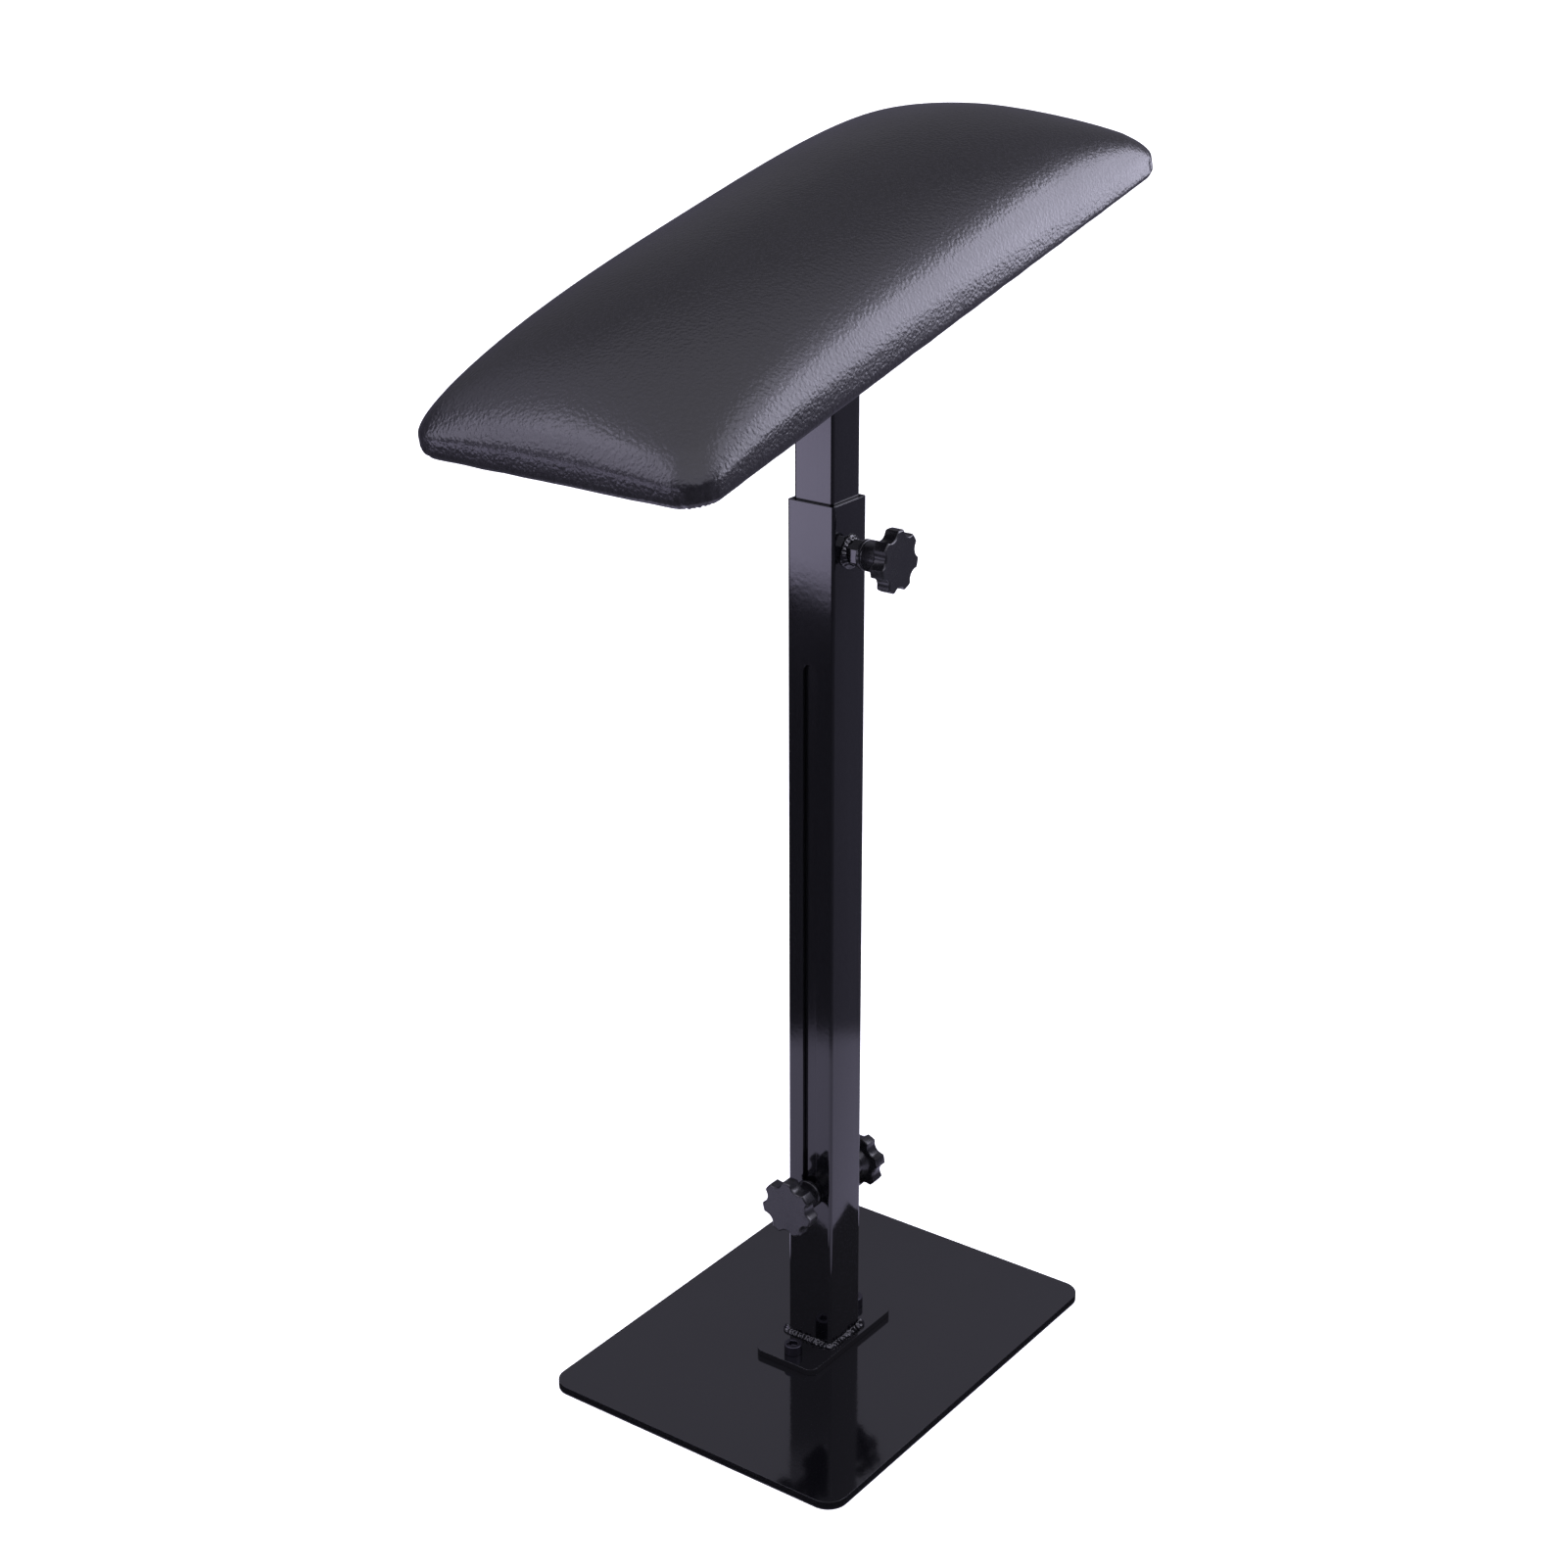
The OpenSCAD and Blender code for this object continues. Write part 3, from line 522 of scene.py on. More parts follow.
upperHeight, lowerHeight = 491, 108     # of the clamp screws' axes, as in the frame
knobSeats = [
    # node, turned by, the way it points, the way across it, what it stands in, height of its axis there
    ("upper_knob_head", -14, (0, -1, 0), (1, 0, 0), upright, upperHeight),
    ("lower_left_knob_head", 0, (-1, 0, 0), (0, 0, 1), upright, lowerHeight),
    ("lower_right_knob_head", 0, (1, 0, 0), (0, 0, -1), upright, lowerHeight),
    ("tilt_knob_head", 20, (0, 1, 0), (1, 0, 0), tilted, 0),
]
for nodeName, turn, axis, across, stand, height in knobSeats:
    low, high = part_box(nodeName)
    seat = Vector([high[i] if axis[i] < 0 else low[i] if axis[i] > 0 else 0 for i in range(3)])
    seat.z = height * mm
    addKnob(nodeName, turn, stand @ alongAxis(seat, axis, across))
print("knobs modelled")


# Threaded studs and the pivot bolt

thread = {"radius": 4.0, "pitch": 1.25, "depth": 0.55, "around": 28, "perPitch": 6, "chamfer": 0.9, "sharp": 60}


def threadedRod(shape, start, length, matrix):
    # a rod along +Z with a rolled thread: every ring follows the helix, and both ends are chamfered
    rows, rings = [], int(length / thread["pitch"] * thread["perPitch"])
    for i in range(rings + 1):
        z = length * i / rings
        chamfer = max(thread["chamfer"] - min(z, length - z), 0)
        row = []
        for k in range(thread["around"]):
            turn = k / thread["around"]
            groove = abs(((z / thread["pitch"] - turn) % 1) * 2 - 1)
            radius = min(thread["radius"] - thread["depth"] * groove, thread["radius"] - chamfer)
            row.append(shape.verts.new(matrix @ (onRing(radius, 2 * math.pi * turn, start + z) * mm)))
        rows.append(row)
    skinRows(shape, rows)
    shape.faces.new(reversed(rows[0]))
    shape.faces.new(rows[-1])


def turned(shape, profile, matrix, around):
    # a closed turned shape along +Z, from (height, radius) points that start and end on the axis
    rows = []
    for z, r in profile:
        points = [onRing(r, 2 * math.pi * k / around, z) for k in range(around if r > 0 else 1)]
        rows.append([shape.verts.new(matrix @ (point * mm)) for point in points])
    for low, high in zip(rows, rows[1:]):
        for k in range(around):
            ring = [low[k % len(low)], low[(k + 1) % len(low)], high[(k + 1) % len(high)], high[k % len(high)]]
            ring = [v for i, v in enumerate(ring) if v not in ring[:i]]
            if len(ring) > 2:
                shape.faces.new(ring)


def addShape(nodeName, shape, material, sharpAngle):
    bmesh.ops.recalc_face_normals(shape, faces=shape.faces)
    return addPiece(nodeName, smoothMesh(shape, nodeName, sharpAngle), material)


def addStud(nodeName, axis, across):
    low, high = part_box(nodeName)
    middle, half = (low + high) / 2, (high - low) / 2
    length = 2 * max(half) / mm
    start = middle - Vector(axis) * length / 2 * mm
    shape = bmesh.new()
    threadedRod(shape, 0, length, alongAxis(start, axis, across))
    addShape(nodeName, shape, zinc, thread["sharp"])


addStud("upper_clamp_stud", (0, -1, 0), (1, 0, 0))
addStud("lower_left_stud", (-1, 0, 0), (0, 0, 1))
addStud("lower_right_stud", (1, 0, 0), (0, 0, -1))

pivotBolt = {
    "headRadius": 8.5, "headHeight": 4.0, "headEdge": 0.3, "headRim": 0.5, "domeSteps": 8, "headAround": 48,
    "neck": 3.0, "square": 8.0, "shank": 4.0, "shankStart": 0.5, "shankAround": 32, "threaded": 16, "sharp": 35,
}


def addPivotBolt():
    # coach bolt: a low dome, a square neck in the front ear, and a shank that is threaded in the knob
    b = pivotBolt
    low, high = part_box("pivot_bolt")
    seat = low.y / mm + b["headHeight"]
    length = (high.y - low.y) / mm - b["headHeight"]
    matrix = tilted @ alongAxis((0, seat * mm, 0), (0, 1, 0), (1, 0, 0))
    shape = bmesh.new()
    dome = [(0, 0), (0, b["headRadius"] - b["headEdge"]), (-b["headEdge"], b["headRadius"])]
    for i in range(1, b["domeSteps"] + 1):
        a = i / b["domeSteps"] * math.pi / 2
        dome.append((-b["headRim"] - (b["headHeight"] - b["headRim"]) * math.sin(a),
                     b["headRadius"] * math.cos(a) if i < b["domeSteps"] else 0))
    turned(shape, dome, matrix, b["headAround"])
    for vert in bmesh.ops.create_cube(shape, size=1)["verts"]:
        x, y, z = vert.co
        vert.co = matrix @ (Vector((x * b["square"], y * b["square"], (z + 0.5) * b["neck"])) * mm)
    plain, shank = length - b["threaded"], b["shank"]
    profile = [(b["shankStart"], 0), (b["shankStart"], shank), (plain, shank), (plain, 0)]
    turned(shape, profile, matrix, b["shankAround"])
    threadedRod(shape, plain, b["threaded"], matrix)
    addShape("pivot_bolt", shape, zinc, b["sharp"])


addPivotBolt()
print("studs and pivot bolt threaded")


# Weld beads, with the lumps and ripples of a hand-fed wire under the powder coat

welds = {
    "foot": {"leg": 3.2, "lump": 0.80, "lumpLength": 3.2, "ripple": 0.26, "rippleLength": 2.4, "stations": 300,
             "seed": 3.1, "half": 15, "corner": 2},
    "nut": {"leg": 3.2, "lump": 0.35, "lumpLength": 4.0, "ripple": 0.07, "rippleLength": 2.0, "stations": 130,
            "seed": 9.4, "radius": 6.6, "out": 15},
    "fork": {"leg": 2.4, "lump": 0.25, "lumpLength": 5.0, "ripple": 0.08, "rippleLength": 2.2, "stations": 60,
             "seed": 5.7, "half": 13.0, "reach": 13.6, "height": 34.9, "apart": 40},
}
bead = {
    "steps": 9, "root": 0.3, "fill": 0.86,      # points across, how far it goes into the corner, share of the leg
    "flat": 0.80, "crown": 0.20, "dent": 0.55,  # of the leg, at its middle and toes, and how far fine lumps change it
    "fine": 2.3, "fineSeed": 4.0, "bow": 1.5,   # fine lumps to a coarse one, and how far a ripple bows back
}


def weldBead(shape, look, path, closed, matrix):
    # path gives a point, the directions along both plates and the distance run, at each station
    rows, steps = [], bead["steps"]
    for point, one, other, run in path:
        coarse = noise.noise(Vector((run / look["lumpLength"], look["seed"], 0)))
        fine = noise.noise(Vector((run / look["lumpLength"] * bead["fine"], look["seed"], bead["fineSeed"])))
        row = [shape.verts.new(matrix @ ((point - one * bead["root"] - other * bead["root"]) * mm))]
        for i in range(steps):
            a = i / (steps - 1) * math.pi / 2
            ripple = math.sin(2 * math.pi * run / look["rippleLength"] + bead["bow"] * math.sin(2 * a))
            bulge = bead["flat"] + bead["crown"] * math.cos(2 * a) ** 2
            bulge += bead["dent"] * look["lump"] * fine * math.sin(2 * a)
            lumps = look["lump"] * coarse + look["ripple"] * ripple * math.sin(2 * a)
            leg = look["leg"] * (bead["fill"] + lumps) * bulge
            row.append(shape.verts.new(matrix @ ((point + one * leg * math.cos(a) + other * leg * math.sin(a)) * mm)))
        rows.append(row)
    pairs = list(zip(rows, rows[1:])) + ([(rows[-1], rows[0])] if closed else [])
    for a, b in pairs:
        for i in range(len(a)):
            j = (i + 1) % len(a)
            shape.faces.new((a[i], a[j], b[j], b[i]))
    if not closed:
        shape.faces.new(rows[0])
        shape.faces.new(reversed(rows[-1]))


def squarePath(half, corner, height, count):
    # round a square tube, from the middle of one side
    straight, arc = 2 * (half - corner), corner * math.pi / 2
    total, path = 4 * (straight + arc), []
    for i in range(count):
        run = total * i / count
        side, rest = divmod(run + straight / 2, straight + arc)
        if rest < straight:
            local, facing = Vector((rest - straight / 2, -half, 0)), Vector((0, -1, 0))
        else:
            a = (rest - straight) / corner
            facing = Vector((math.sin(a), -math.cos(a), 0))
            local = Vector((half - corner, corner - half, 0)) + facing * corner
        spin = Matrix.Rotation(side * math.pi / 2, 3, "Z")
        point = spin @ local
        path.append((Vector((point.x, point.y, height)), spin @ facing, Vector((0, 0, 1)), run))
    return path


def ringPath(radius, count):
    path = []
    for i in range(count):
        a = 2 * math.pi * i / count
        out = onRing(1, a, 0)
        path.append((out * radius, out, Vector((0, 0, 1)), a * radius))
    return path


def forkPath(side, look):
    # along one cheek of the fork, under its plate
    path, length = [], 2 * look["reach"]
    for i in range(look["stations"] + 1):
        run = length * i / look["stations"]
        point = Vector((side * look["half"], run - look["reach"], look["height"]))
        path.append((point, Vector((side, 0, 0)), Vector((0, 0, -1)), run + look["apart"] * side))
    return path


def addWeld(nodeName, look, paths, closed, matrix):
    shape = bmesh.new()
    for path in paths:
        weldBead(shape, look, path, closed, matrix)
    addShape(nodeName, shape, paint, 180)


foot, nut, fork = welds["foot"], welds["nut"], welds["fork"]
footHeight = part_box("foot_weld")[0].z / mm
addWeld("foot_weld", foot, [squarePath(foot["half"], foot["corner"], footHeight, foot["stations"])], True, upright)
addWeld("upper_nut_weld", nut, [ringPath(nut["radius"], nut["stations"])], True,
        alongAxis((0, -nut["out"] * mm, upperHeight * mm), (0, -1, 0), (1, 0, 0)))
addWeld("fork_welds", fork, [forkPath(-1, fork), forkPath(1, fork)], False, tilted)
print("weld beads laid")


# Pad: leathercloth pulled over a foam dome and stapled under the board. Heights are above the pad's underside

pad = {
    "length": 417, "width": 176, "corner": 17, "deepCorner": 2, "shift": -6.5, "drop": 37.5,
    "rise": 47.5, "tuck": 6, "side": 5.5, "cover": 1.2, "board": 10, "boardInset": 8, "hem": 25,
    "longPower": 3.15, "longRound": 0.52, "crossPower": 1.7, "crossRound": 0.36,
    "cornerSteps": 26, "longSteps": 56, "shortSteps": 24, "spread": 0.9, "lastRing": 0.9985, "sharp": 50,
}
padMatrix = tilted @ Matrix.Translation((pad["shift"] * mm, 0, pad["drop"] * mm))
padEdge = pad["tuck"] + pad["side"]


def padOutline(inset):
    radius = max(pad["corner"] - inset, pad["deepCorner"])
    x, y = pad["length"] / 2 - inset - radius, pad["width"] / 2 - inset - radius
    steps, points = pad["cornerSteps"], []
    runs = [((x, y), 0, (x, y + radius), (-x, y + radius), pad["longSteps"]),
            ((-x, y), 90, (-x - radius, y), (-x - radius, -y), pad["shortSteps"]),
            ((-x, -y), 180, (-x, -y - radius), (x, -y - radius), pad["longSteps"]),
            ((x, -y), 270, (x + radius, -y), (x + radius, y), pad["shortSteps"])]
    for (cx, cy), start, a, b, count in runs:
        for i in range(steps + 1):
            angle = math.radians(start + 90 * i / steps)
            points.append((cx + radius * math.cos(angle), cy + radius * math.sin(angle)))
        points += [(a[0] + (b[0] - a[0]) * i / count, a[1] + (b[1] - a[1]) * i / count) for i in range(1, count)]
    return points


def halfExtent(half, otherHalf, inset, place):
    over = min(max(abs(place) - (otherHalf - pad["corner"]), 0), pad["corner"] - inset)
    return half - pad["corner"] + math.sqrt((pad["corner"] - inset) ** 2 - over * over)


def falloff(ratio, power, roundness):
    return max(1 - min(ratio, 1) ** power, 0) ** roundness


def crownHeight(x, y, inset):
    longReach = halfExtent(pad["length"] / 2, pad["width"] / 2, inset, y)
    crossReach = halfExtent(pad["width"] / 2, pad["length"] / 2, inset, x)
    return padEdge + (pad["rise"] - inset) * falloff(abs(x) / longReach, pad["longPower"], pad["longRound"]) \
        * falloff(abs(y) / crossReach, pad["crossPower"], pad["crossRound"])


def flatRing(inset, height):
    return [(x, y, height) for x, y in padOutline(inset)]


def crownRings(inset, count, tuckSteps=8):
    # from the top of the dome to the underside
    shares = [math.sin((i + 1) / (count + 1) * math.pi / 2) ** pad["spread"] for i in range(count)]
    rings = []
    for share in shares + [pad["lastRing"]]:
        rings.append([(x * share, y * share, crownHeight(x * share, y * share, inset)) for x, y in padOutline(inset)])
    rings.append(flatRing(inset, padEdge))
    for i in range(tuckSteps + 1):
        a, radius = i / tuckSteps * math.pi / 2, pad["tuck"] - inset
        rings.append(flatRing(pad["tuck"] - radius * math.cos(a), pad["tuck"] - radius * math.sin(a)))
    return rings


def ringedShape(top, rings, end):
    shape = bmesh.new()
    first = shape.verts.new(top)
    rows = [[shape.verts.new(p) for p in ring] for ring in rings]
    last = shape.verts.new(end)
    count = len(rows[0])
    for k in range(count):
        shape.faces.new((first, rows[0][k], rows[0][(k + 1) % count]))
        shape.faces.new((last, rows[-1][(k + 1) % count], rows[-1][k]))
    for a, b in zip(rows, rows[1:]):
        for k in range(count):
            shape.faces.new((a[k], b[k], b[(k + 1) % count], a[(k + 1) % count]))
    return shape


def addPadShape(nodeName, shape, material, sharpAngle):
    for v in shape.verts:
        v.co = padMatrix @ (v.co * mm)
    return addShape(nodeName, shape, material, sharpAngle)


swelling = {
    "start": 1.0, "rings": 26, "voxel": 5, "smooth": 0.5, "rounds": 6,      # the trial dome, a little small
    "held": (2, 5),                             # held below this height over the side, let go over this far
    "frames": 20, "quality": 6, "mass": 0.35, "stretch": 35, "shear": 12, "bend": 2.5, "pressure": 4.0,
    "cap": 3.0, "keep": 0.7, "limit": 1.2, "nearest": 12, "crown": 10,
    "ease": (2, 8),                             # grows from this height to this far over the side
}


def inflatedSurface():
    # the cover is blown up by a cloth simulation over a slightly smaller dome, held where it is stapled
    s = swelling
    shape = ringedShape((0, 0, crownHeight(0, 0, s["start"])),
                        crownRings(s["start"], s["rings"]) + [flatRing(pad["hem"], 0)], (0, 0, 0))
    bmesh.ops.scale(shape, vec=(mm, mm, mm), verts=shape.verts)
    bmesh.ops.recalc_face_normals(shape, faces=shape.faces)
    trial = addObject("coverTrial", toMesh(shape, "coverTrial"))
    bpy.context.view_layer.objects.active = trial
    bpy.ops.object.select_all(action="DESELECT")
    trial.select_set(True)
    remesh = trial.modifiers.new("even", "REMESH")
    remesh.mode, remesh.voxel_size = "VOXEL", s["voxel"] * mm
    bpy.ops.object.modifier_apply(modifier="even")
    smooth = trial.modifiers.new("smooth", "SMOOTH")
    smooth.factor, smooth.iterations = s["smooth"], s["rounds"]
    bpy.ops.object.modifier_apply(modifier="smooth")
    rest = [v.co.copy() for v in trial.data.vertices]
    held = trial.vertex_groups.new(name="held")
    above, fade = s["held"]
    for v in trial.data.vertices:
        held.add([v.index], max(0.0, min(1.0, (padEdge + above - v.co.z / mm) / fade)), "REPLACE")
    cloth = trial.modifiers.new("cover", "CLOTH")
    settings = cloth.settings
    settings.quality, settings.mass = s["quality"], s["mass"]
    settings.tension_stiffness = settings.compression_stiffness = s["stretch"]
    settings.shear_stiffness, settings.bending_stiffness = s["shear"], s["bend"]
    settings.use_pressure, settings.uniform_pressure_force = True, s["pressure"]
    settings.effector_weights.gravity = 0
    settings.vertex_group_mass = "held"
    cloth.collision_settings.use_self_collision = False
    for step in range(1, s["frames"] + 1):
        scene.frame_set(step)
    done = trial.evaluated_get(bpy.context.evaluated_depsgraph_get()).to_mesh()
    moves = []
    for v, was in zip(done.vertices, rest):
        move = (v.co - was) / mm
        moves.append(move * min(1, s["cap"] / max(move.length, 0.001)))
    trial.modifiers.remove(cloth)
    scene.frame_set(1)
    bpy.data.objects.remove(trial)
    return rest, moves


def swellCover(outer):
    # the simulated swell, less its mean so that the photographed outline holds
    s = swelling
    rest, moves = inflatedSurface()
    tree = KDTree(len(rest))
    for i, point in enumerate(rest):
        tree.insert(point / mm, i)
    tree.balance()
    swell = {}
    for v in outer:
        near = tree.find_n(v.co, s["nearest"])
        weights = [1 / (1 + d) ** 2 for _, _, d in near]
        swell[v] = sum(w * moves[i].dot(v.normal) for w, (_, i, _) in zip(weights, near)) / sum(weights)
    crown = [swell[v] for v in outer if v.co.z > padEdge + s["crown"]]
    mean = sum(crown) / len(crown)
    print("cover simulated: swell %.2f mm, from %.2f to %.2f" % (mean, min(crown), max(crown)))
    start, over = s["ease"]
    for v in outer:
        ease = max(0.0, min(1.0, (v.co.z - start) / (padEdge + over)))
        v.co += v.normal * max(-s["limit"], min(s["limit"], (swell[v] - mean) * s["keep"])) * ease


gathers = {
    "soften": 14, "softUnder": 1, "softOver": 12,       # rounds the turn between the crown and the side
    "pucker": 0.35, "puckerLength": 27, "puckerOver": 5, "puckerAcross": 90, "puckerSeed": 7.0, "endShift": 300,
    "folds": (16, 37, 56, 74), "foldDepth": 0.9, "foldWidth": 3.6,      # creases that show at each corner, by angle
    "foldShares": (1, 0.6, 0.9, 0.5), "foldHeight": 5, "foldReach": 9, "foldLean": 30,
    "pleat": 0.7, "pleats": 9,                  # under each corner, where the cover is gathered
}


def gatherCover(outer):
    # puckers between the staples along the lower edge, folds and pleats at the corners
    g = gathers
    halfX, halfY = pad["length"] / 2 - pad["corner"], pad["width"] / 2 - pad["corner"]
    for v in outer:
        x, y, z = v.co
        run = x if abs(y) > abs(x) * pad["width"] / pad["length"] else y + g["endShift"]
        low = max(0.0, 1 - max(z, 0) / (padEdge + g["puckerOver"]))
        place = Vector((run / g["puckerLength"] * 2, y / g["puckerAcross"], g["puckerSeed"]))
        v.co += v.normal * g["pucker"] * low * noise.noise(place)
        if abs(x) <= halfX or abs(y) <= halfY:
            continue
        angle = math.atan2(abs(y) - halfY, abs(x) - halfX)
        near = max(0.0, 1 - abs(z - g["foldHeight"]) / g["foldReach"])
        for i, fold in enumerate(g["folds"]):
            lean = (z - g["foldHeight"]) * (fold - 45) / g["foldLean"]
            bend = (math.degrees(angle) - fold - lean) / g["foldWidth"]
            share = g["foldShares"][(i + (x > 0) + 2 * (y > 0)) % 4]
            v.co -= v.normal * g["foldDepth"] * share * near * math.exp(-bend * bend)
        if z < pad["tuck"]:
            depth = (1 - z / pad["tuck"]) * math.sin(2 * angle)
            v.co.z += g["pleat"] * depth * (0.5 + 0.5 * math.sin(angle * g["pleats"] * 4))


hemRings = (9, 13, 18)      # insets of the rings that lie under the board


def addCover():
    outside, inside = crownRings(0, 44), crownRings(pad["cover"], 12, 4)
    rings = outside + [flatRing(inset, 0) for inset in (*hemRings, pad["hem"])]
    rings += [flatRing(pad["hem"], pad["cover"])] + list(reversed(inside))
    shape = ringedShape((0, 0, crownHeight(0, 0, 0)), rings, (0, 0, crownHeight(0, 0, pad["cover"])))
    shape.verts.ensure_lookup_table()
    outer = shape.verts[:1 + len(outside[0]) * (len(outside) + len(hemRings))]
    shape.normal_update()
    swellCover(outer)
    lowest, highest = pad["tuck"] - gathers["softUnder"], padEdge + gathers["softOver"]
    for step in range(gathers["soften"]):
        bmesh.ops.smooth_vert(shape, verts=[v for v in outer if lowest < v.co.z < highest], factor=0.5,
                              use_axis_x=True, use_axis_y=True, use_axis_z=True)
    shape.normal_update()
    gatherCover(outer)
    piece = addPadShape("leather_cover", shape, leather, pad["sharp"])


foamShape = {"clearance": 0.1, "boardPlay": -0.3, "hollowEdge": 0.6, "rings": 18}


def addFoam():
    # fills the cover and is hollow underneath for the board
    f = foamShape
    inset, boardTop = pad["cover"] + f["clearance"], pad["cover"] + pad["board"]
    hollow = pad["boardInset"] + f["boardPlay"]
    rings = crownRings(inset, f["rings"], 4)[:-1]
    rings += [flatRing(hollow - f["hollowEdge"], inset), flatRing(hollow, inset), flatRing(hollow, boardTop)]
    shape = ringedShape((0, 0, crownHeight(0, 0, inset)), rings, (0, 0, boardTop))
    piece = addPadShape("foam_core", shape, foam, pad["sharp"])


dust = {
    "inset": 13, "lap": 25, "lapSteps": 3, "lapHeight": -0.35, "inner": 0.8, "step": 1.0, "steps": 10, "sharp": 60,
    "crease": 0.25, "creaseMost": 0.8, "broad": (22, 13, 2.0), "narrow": (8, 9, 5.0), "narrowShare": 0.6,
    "plate": (60, 34), "plateShare": 0.35,      # half the place that the bracket's plate presses flat
    "cutCorner": 4.5,
}


def dustSlack(x, y, lengths):
    along, across, seed = lengths
    return noise.noise(Vector((x / along, y / across, seed)))


def addDustCover():
    # one cut sheet, stapled through the cover's hem, with slack creases between the staples
    d = dust
    rings = [flatRing(d["inset"] + (d["lap"] - d["inset"]) * i / (d["lapSteps"] - 1), d["lapHeight"])
             for i in range(d["lapSteps"])]
    rings.append(flatRing(d["lap"] + d["step"], d["inner"]))
    inner = padOutline(d["lap"] + d["step"])
    for i in range(1, d["steps"]):
        share = 1 - i / d["steps"]
        rings.append([(x * share, y * share, d["inner"]) for x, y in inner])
    shape = bmesh.new()
    rows = [[shape.verts.new(p) for p in ring] for ring in rings]
    centre = shape.verts.new((0, 0, d["inner"]))
    skinRows(shape, rows)
    count = len(inner)
    for k in range(count):
        shape.faces.new((rows[-1][k], rows[-1][(k + 1) % count], centre))
    for v in shape.verts:
        x, y, z = v.co
        clear = d["plateShare"] if abs(x) < d["plate"][0] and abs(y) < d["plate"][1] else 1.0
        slack = dustSlack(x, y, d["broad"]) + d["narrowShare"] * dustSlack(x, y, d["narrow"])
        v.co.z += d["crease"] * clear * min(max(slack, -1), d["creaseMost"])
    piece = addPadShape("dust_cover", shape, spunbond, d["sharp"])


addCover()
addFoam()
addDustCover()
print("pad upholstered")


# Floor and light, in metres

studio = {
    "floor": "#f6f6f6", "floorGlow": 0.90, "floorReach": 9, "backdrop": 20,
    "haze": "#dfdaff", "overhead": "#f4f2ff", "horizon": (0.42, 0.54),
    "sky": 1.31, "lean": 0.93, "leanWay": (-0.77, -0.64, 0),            # brightest behind the camera
    "ground": 0.17, "groundLean": 0.085, "groundWay": (0.81, -0.59, 0),
    "shade": (0.276, 0.212, 0.0008),            # the dark card that the base's edges mirror, a painted contact shadow: length, width, height
}
paleSheet = {
    # on the floor, what the lower post mirrors: a glowing sheet seen only in reflections, a painted pool of light for
    # the lit floor
    "colour": "#e1dbff", "radius": 0.413, "fade": 0.014, "glow": 1.10, "height": 0.0004, "around": 96,
    "lean": (-0.45, 0.31, 0),                   # brighter to the left
}
darkFlag = {"place": (0.647, 0.470), "half": 0.95, "heights": (0.84, 2.00), "glow": 0.22}      # a card beyond the pad
softboxes = {
    # where it stands, what it faces, width and height, radiance, colour
    "sideBox": ((0.332, -0.441, 0.805), (-0.487, 0.133, 0.805), (0.62, 0.49), 5.8, "#ebe9ff"),
    "upperBox": ((0.129, -0.731, 1.50), (-0.690, -0.157, 1.50), (0.60, 0.80), 2.1, "#ebe9ff"),
    "lowPanel": ((-1.27, 0.62, 0.135), (0, 0, 0.135), (1.4, 0.23), 3.8, "#e3dcff"),
    "endPanel": ((-0.634, 0.353, 0.885), (-0.20, 0, 0.885), (0.44, 0.57), 3.2, "#e9e4ff"),
}


def glowing(name, hexColour, strength, base=None):
    material, tree, shader = startMaterial(name, {"colour": base or hexColour, "roughness": 0.8, "ior": 1.5})
    feed(shader, {"Emission Color": linear(hexColour), "Emission Strength": strength})
    return material, tree, shader


def addStagePiece(name, mesh, material, *rays):
    # only some rays meet it, so that the backdrop stays plain and the gloss stays as photographed
    thing = addObject(name, mesh)
    mesh.materials.append(material)
    for ray in ("camera", "diffuse", "glossy", "transmission", "volume_scatter", "shadow"):
        setattr(thing, "visible_" + ray, ray in rays)
    thing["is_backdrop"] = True
    return thing


def cardMesh(name, corners):
    mesh = bpy.data.meshes.new(name)
    mesh.from_pydata(corners, [], [(0, 1, 2, 3)])
    return mesh


def levelCorners(x, y, z):
    return [(-x, -y, z), (x, -y, z), (x, y, z), (-x, y, z)]


def addFloor():
    reach = studio["floorReach"]
    addStagePiece("studioFloor", cardMesh("studioFloor", levelCorners(reach, reach, 0)),
                  glowing("paleFloor", studio["floor"], studio["floorGlow"])[0],
                  "camera", "diffuse", "transmission", "shadow")


def addBackdrop():
    shape = bmesh.new()
    bmesh.ops.create_icosphere(shape, subdivisions=3, radius=studio["backdrop"])
    addStagePiece("backdrop", toMesh(shape, "backdrop"), glowing("whiteBackdrop", "#ffffff", 1.0)[0], "camera")


def addSheet():
    s = paleSheet
    low, high = s["radius"] - s["fade"], s["radius"] + s["fade"]
    shape = bmesh.new()
    bmesh.ops.create_circle(shape, cap_ends=True, segments=s["around"], radius=high)
    # painted light: the sheet glows, brighter to the left, and fades at its rim to the ground's glow; only
    # reflections see it
    material, tree, shader = glowing("paleSheet", s["colour"], s["glow"], "#000000")
    place = addNode(tree, "TexCoord").outputs["Object"]
    reach = addNode(tree, "VectorMath", {"operation": "LENGTH", 0: place})
    fade = addNode(tree, "MapRange", {"From Min": low, "From Max": high, "To Min": s["glow"],
                                      "To Max": studio["ground"], "Value": reach.outputs["Value"]})
    side = addNode(tree, "VectorMath", {"operation": "DOT_PRODUCT", 1: s["lean"], 0: place})
    lean = addNode(tree, "Math", {"operation": "MULTIPLY_ADD", 0: side.outputs["Value"], 1: fade, 2: fade})
    feed(shader, {"Emission Strength": lean})
    addStagePiece("paleSheet", toMesh(shape, "paleSheet"), material, "glossy").location.z = s["height"]


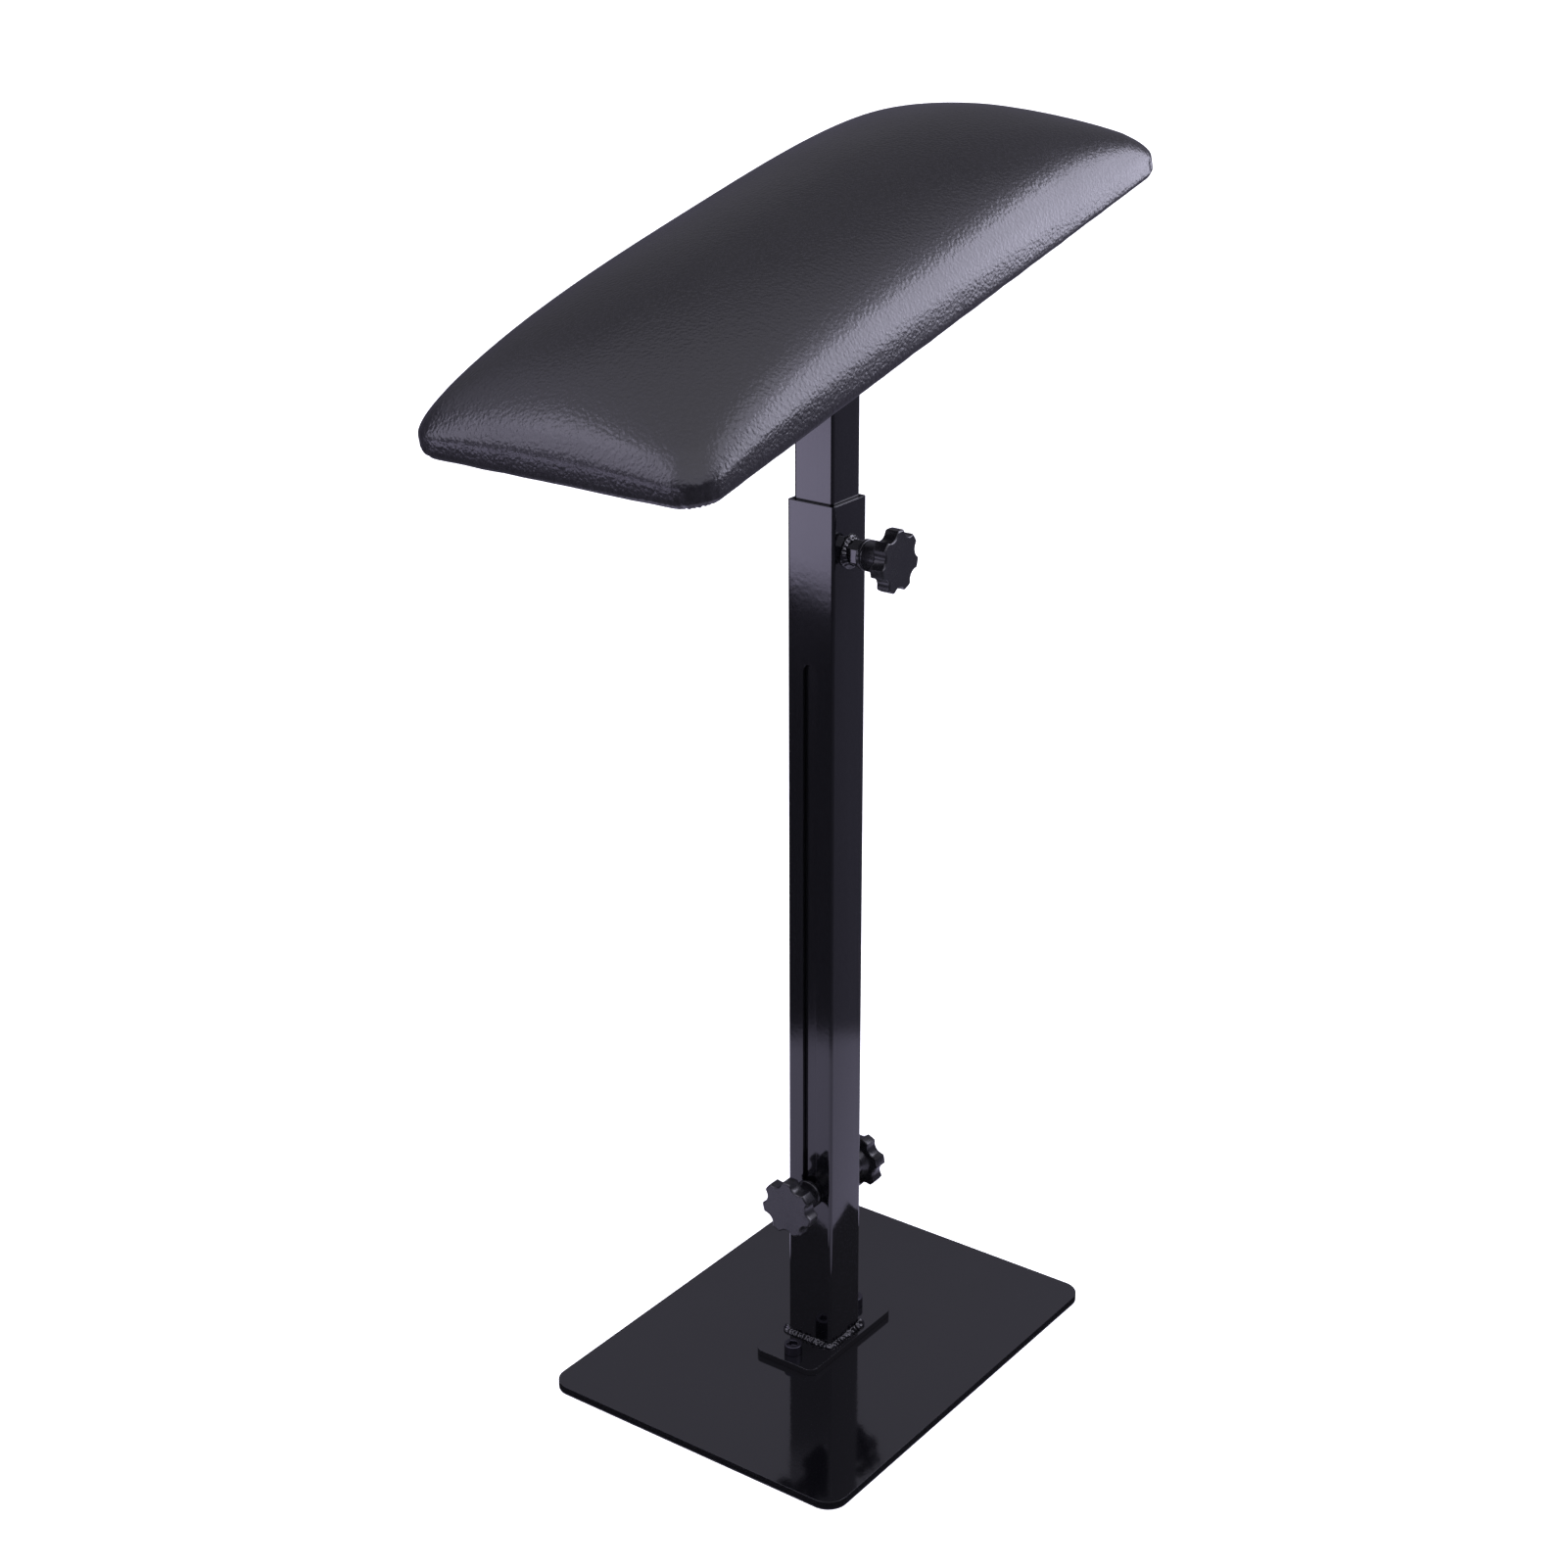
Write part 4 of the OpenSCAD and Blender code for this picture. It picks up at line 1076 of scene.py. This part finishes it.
def addCard(name, corners, hexColour, strength):
    # a dark card that only the gloss sees
    addStagePiece(name, cardMesh(name, corners), glowing(name, hexColour, strength, "#000000")[0], "glossy")


def addCards():
    length, width, height = studio["shade"]
    # painted shadow: a black card round the base, seen only in reflections, stands for the contact shadow there
    addCard("contactShadowCard", levelCorners(length / 2, width / 2, height), "#000000", 0)
    (x, y), (low, high) = darkFlag["place"], darkFlag["heights"]
    across = Vector((-y, x, 0)).normalized() * darkFlag["half"]
    a, b = Vector((x, y, 0)) - across, Vector((x, y, 0)) + across
    addCard("darkFlag", [(a.x, a.y, low), (b.x, b.y, low), (b.x, b.y, high), (a.x, a.y, high)],
            studio["overhead"], darkFlag["glow"])


def addSoftbox(name, centre, target, size, radiance, colour):
    data = bpy.data.lights.new(name, "AREA")
    data.shape, data.size, data.size_y = "RECTANGLE", size[0], size[1]
    data.energy, data.color = radiance * math.pi * size[0] * size[1], linear(colour)[:3]
    lamp = bpy.data.objects.new(name, data)
    lamp.location = centre
    lamp.rotation_mode = "QUATERNION"
    lamp.rotation_quaternion = (Vector(target) - Vector(centre)).to_track_quat("-Z", "Y")
    lamp.visible_camera = False
    scene.collection.objects.link(lamp)


def addWorld():
    # a pale room over a dark ground
    world = bpy.data.worlds.new("studioWorld")
    scene.world = world
    world.use_nodes = True
    tree, s = world.node_tree, studio
    way = addNode(tree, "TexCoord").outputs["Generated"]
    up = addNode(tree, "SeparateXYZ", {"Vector": way}).outputs["Z"]
    side = addNode(tree, "VectorMath", {"operation": "DOT_PRODUCT", 1: s["leanWay"], 0: way})
    above = addNode(tree, "Math", {"operation": "MULTIPLY_ADD", 1: s["lean"], 2: s["sky"], 0: side.outputs["Value"]})
    front = addNode(tree, "VectorMath", {"operation": "DOT_PRODUCT", 1: s["groundWay"], 0: way})
    below = addNode(tree, "Math", {"operation": "MULTIPLY_ADD", 1: s["groundLean"], 2: s["ground"],
                                   0: front.outputs["Value"]})
    low, high = s["horizon"]
    rise = addNode(tree, "MapRange", {"From Min": low, "From Max": high, "Value": up, "To Min": below,
                                      "To Max": above})
    tint = addNode(tree, "MixRGB", {"Color1": linear(s["haze"]), "Color2": linear(s["overhead"]), "Fac": up})
    feed(tree.nodes["Background"], {"Color": tint, "Strength": rise})


addFloor()
addBackdrop()
addSheet()
addCards()
addWorld()
for boxName, (centre, target, size, radiance, colour) in softboxes.items():
    addSoftbox(boxName, centre, target, size, radiance, colour)
scene.view_settings.view_transform = "Standard"
scene.view_settings.look = "None"
print("studio lit")

low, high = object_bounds()
